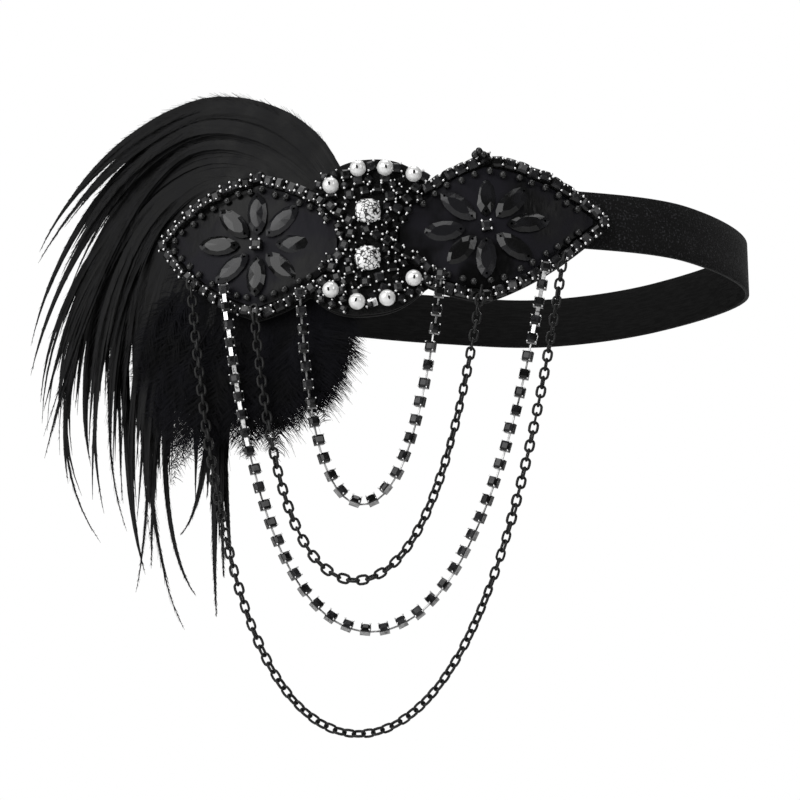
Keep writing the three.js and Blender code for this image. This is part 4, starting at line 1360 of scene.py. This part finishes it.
def make_plume():
    """Long hackles at the places of the real ones, companions beside them and shorter ones between."""
    random.seed(5)
    strips = Strips()
    paths = [row[0] for row in HACKLES]
    last = len(paths) - 1
    loose = (1.5, 2.5, 3, 3)
    for path, depth in HACKLES:
        lay_hackle(strips, HACKLE, path, depth)
        for _ in range(COMPANIONS):
            slim = dict(HACKLE, reach=uniform(0.66, 0.96), vane=1.55, stations=26, barbs=90)
            lay_hackle(strips, slim, shaken(path, (1, 2, 2.5, 3)), depth + uniform(-1.5, 1.5))
    for _ in range(SHORT_HACKLES):
        place = uniform(0.3, last)
        path = shaken(between(paths, place), loose)
        reach = uniform(0.4, 0.64) if place < 5 else uniform(0.42, 0.8)
        short = dict(HACKLE, reach=reach, vane=1.7, stations=18, barbs=40)
        lay_hackle(strips, short, path, uniform(-9, 2))
    for _ in range(UPPER_HACKLES):
        path = shaken(between(paths, uniform(3, 12)), loose)
        swell = uniform(-2, 13)
        path = [(x + swell * part, y + swell * part * 0.3) for (x, y), part in zip(path, (0, 0.6, 1, 0.8))]
        upper = dict(HACKLE, reach=uniform(0.62, 0.86), vane=1.6, stations=20, barbs=46)
        lay_hackle(strips, upper, path, uniform(-8, 0))
    for index in range(WIDE_HACKLES):
        at_root = index < WIDE_AT_ROOT
        place = uniform(1.5 if at_root else 9, last)
        path = shaken(between(paths, place), (1.5, 2, 2, 2))
        reach = uniform(0.34, 0.58) if at_root else uniform(0.52, 0.84)
        wide = dict(HACKLE, reach=reach, vane=3.4, stations=16, half_width=4.2, barbs=60)
        lay_hackle(strips, wide, path, uniform(-8, -1))
    plume = strips.object("hackle_plume", hackle_barb)
    finish_piece(plume, ["feather_plume"])


def make_marabou():
    random.seed(6)
    strips = Strips()
    paths = []
    for root, middle, tip in MARABOU:
        bend = tuple((8 * middle[k] - root[k] - tip[k]) / 6 for k in (0, 1))
        paths.append((root, bend, bend, tip))
    for index in range(MARABOU_PLUMES):
        place = (index + random.random()) / MARABOU_PLUMES * (len(paths) - 1)
        path = shaken(between(paths, place), (1.5, 2.5, 2.5, 2))
        tuft = dict(MARABOU_PLUME, reach=uniform(0.8, 1.0))
        way = FeatherPath(path, uniform(-1.5, 4.5))
        lay_shaft(strips, way, tuft)
        lay_barbs(strips, way, tuft)
    fluff = strips.object("marabou_fluff", marabou_barb_painted_sheen)
    finish_piece(fluff, ["marabou_tuft"])


# The scene

def make_floor():
    """A pale floor that fades out with distance into the white world."""
    floor = added("pale_floor", bpy.ops.mesh.primitive_plane_add, size=3.4, location=(0, 0, -0.26))
    paint = grained_finish("pale_floor_paint", 3.0, (grey(0.93), grey(0.96)), (0.7, 0.8), 0.1, (0.02, 0.001))
    nodes = paint.node_tree.nodes
    coordinates = add_node(nodes, "TexCoord")
    reach = add_node(nodes, "VectorMath", operation="LENGTH")
    fade = add_remap(nodes, 0.3, 1.4, 1.0, 0.0, interpolation_type="SMOOTHSTEP")
    connect(
        paint.node_tree.links,
        (coordinates, "Object", reach, 0), (reach, "Value", fade, "Value"),
        (fade, "Result", nodes["Principled BSDF"], "Alpha"),
    )
    coat(floor, paint)


def make_world():
    """White to the camera, with a weak fill light on the part."""
    world = bpy.data.worlds.new("studio")
    bpy.context.scene.world = world
    world.use_nodes = True
    nodes = world.node_tree.nodes
    seen = nodes["Background"]
    set_sockets(seen, {"Color": (1, 1, 1, 1), "Strength": 1.0})
    fill = add_node(nodes, "Background", {"Color": (1, 1, 1, 1), "Strength": 0.08})
    path = add_node(nodes, "LightPath")
    mix = add_node(nodes, "MixShader")
    connect(
        world.node_tree.links,
        (path, "Is Camera Ray", mix, "Fac"), (fill, 0, mix, 1), (seen, 0, mix, 2),
        (mix, 0, nodes["World Output"], "Surface"),
    )


def add_softbox(name, place, size, power):
    middle = (-0.02, -0.04, -0.03)
    light = bpy.data.lights.new(name, "AREA")
    light.shape = "RECTANGLE"
    light.size, light.size_y = size
    light.energy = power
    lamp = bpy.data.objects.new(name, light)
    bpy.context.scene.collection.objects.link(lamp)
    lamp.location = place
    lamp.rotation_euler = (Vector(middle) - Vector(place)).to_track_quat("-Z", "Y").to_euler()


def make_lights_and_camera():
    add_softbox("left_softbox", (-0.75, -1.0, 0.4), (0.95, 1.1), 10.5)
    add_softbox("right_softbox", (0.72, -0.95, 0.3), (0.4, 0.6), 2.0)
    add_softbox("side_softbox", (-1.25, -0.45, 0.2), (1.0, 1.0), 3.8)
    add_softbox("top_softbox", (0.0, -0.1, 1.1), (0.9, 0.9), 6)
    add_softbox("back_softbox", (0.1, 1.1, 0.5), (0.9, 0.7), 5)
    camera = bpy.data.cameras.new("photo_camera")
    camera.sensor_width = 36
    camera.lens = 1901 / 800 * 36
    camera.clip_start, camera.clip_end = 0.01, 30
    eye = bpy.data.objects.new("photo_camera", camera)
    bpy.context.scene.collection.objects.link(eye)
    eye.location = (-0.0192, -0.6466, -0.1874)
    eye.rotation_mode = "QUATERNION"
    eye.rotation_quaternion = Vector((0, 0.9767, 0.2146)).to_track_quat("-Z", "Y")
    bpy.context.scene.camera = eye
    bpy.context.scene.view_settings.view_transform = "Standard"


def at_corners(radius):
    return [(x, y, radius) for x, y in CORNERS]


make_floor()
make_world()
make_lights_and_camera()
make_band()
make_felt()
make_satin_panel(-1, "left", 11)
make_satin_panel(1, "right", 12)
rim_stone = make_square_stone(CUP_SIZE, "rim_stone", gunmetal, RIM_PRONGS)
small_stone = make_square_stone(3.05, "small_stone", gunmetal, SMALL_PRONGS)
tiny_stone = make_square_stone(SMALL_FILL, "tiny_stone", gunmetal, TINY_PRONGS)
centre_stone = make_square_stone(3.3, "centre_stone", gunmetal, at_corners(0.46))
chain_stone = make_square_stone(3.15, "chain_stone", chain_metal, at_corners(0.28))
open_cup = make_open_cup()
for side, prefix in SIDES:
    make_rim(side, prefix, rim_stone)
for side, prefix in SIDES:
    make_seed_beads(side, prefix)
make_middle(small_stone, tiny_stone, open_cup)
make_crystals()
make_pearls()
for side, prefix in SIDES:
    one_petal = make_petal_master(0.4 if side < 0 else 0)
    make_flower(side, prefix, one_petal, centre_stone)
    discard(one_petal)
make_cup_chain("rhinestone_chain_inner", "inner_cup_chain", chain_stone, 31, 0.0)
make_cup_chain("rhinestone_chain_outer", "outer_cup_chain", chain_stone, 32, 0.2)
discard(rim_stone, small_stone, tiny_stone, centre_stone, chain_stone, open_cup)
make_cable_chain("cable_chain_inner", "inner_link_chain", 3)
make_cable_chain("cable_chain_outer", "outer_link_chain", 4)
make_plume()
make_marabou()
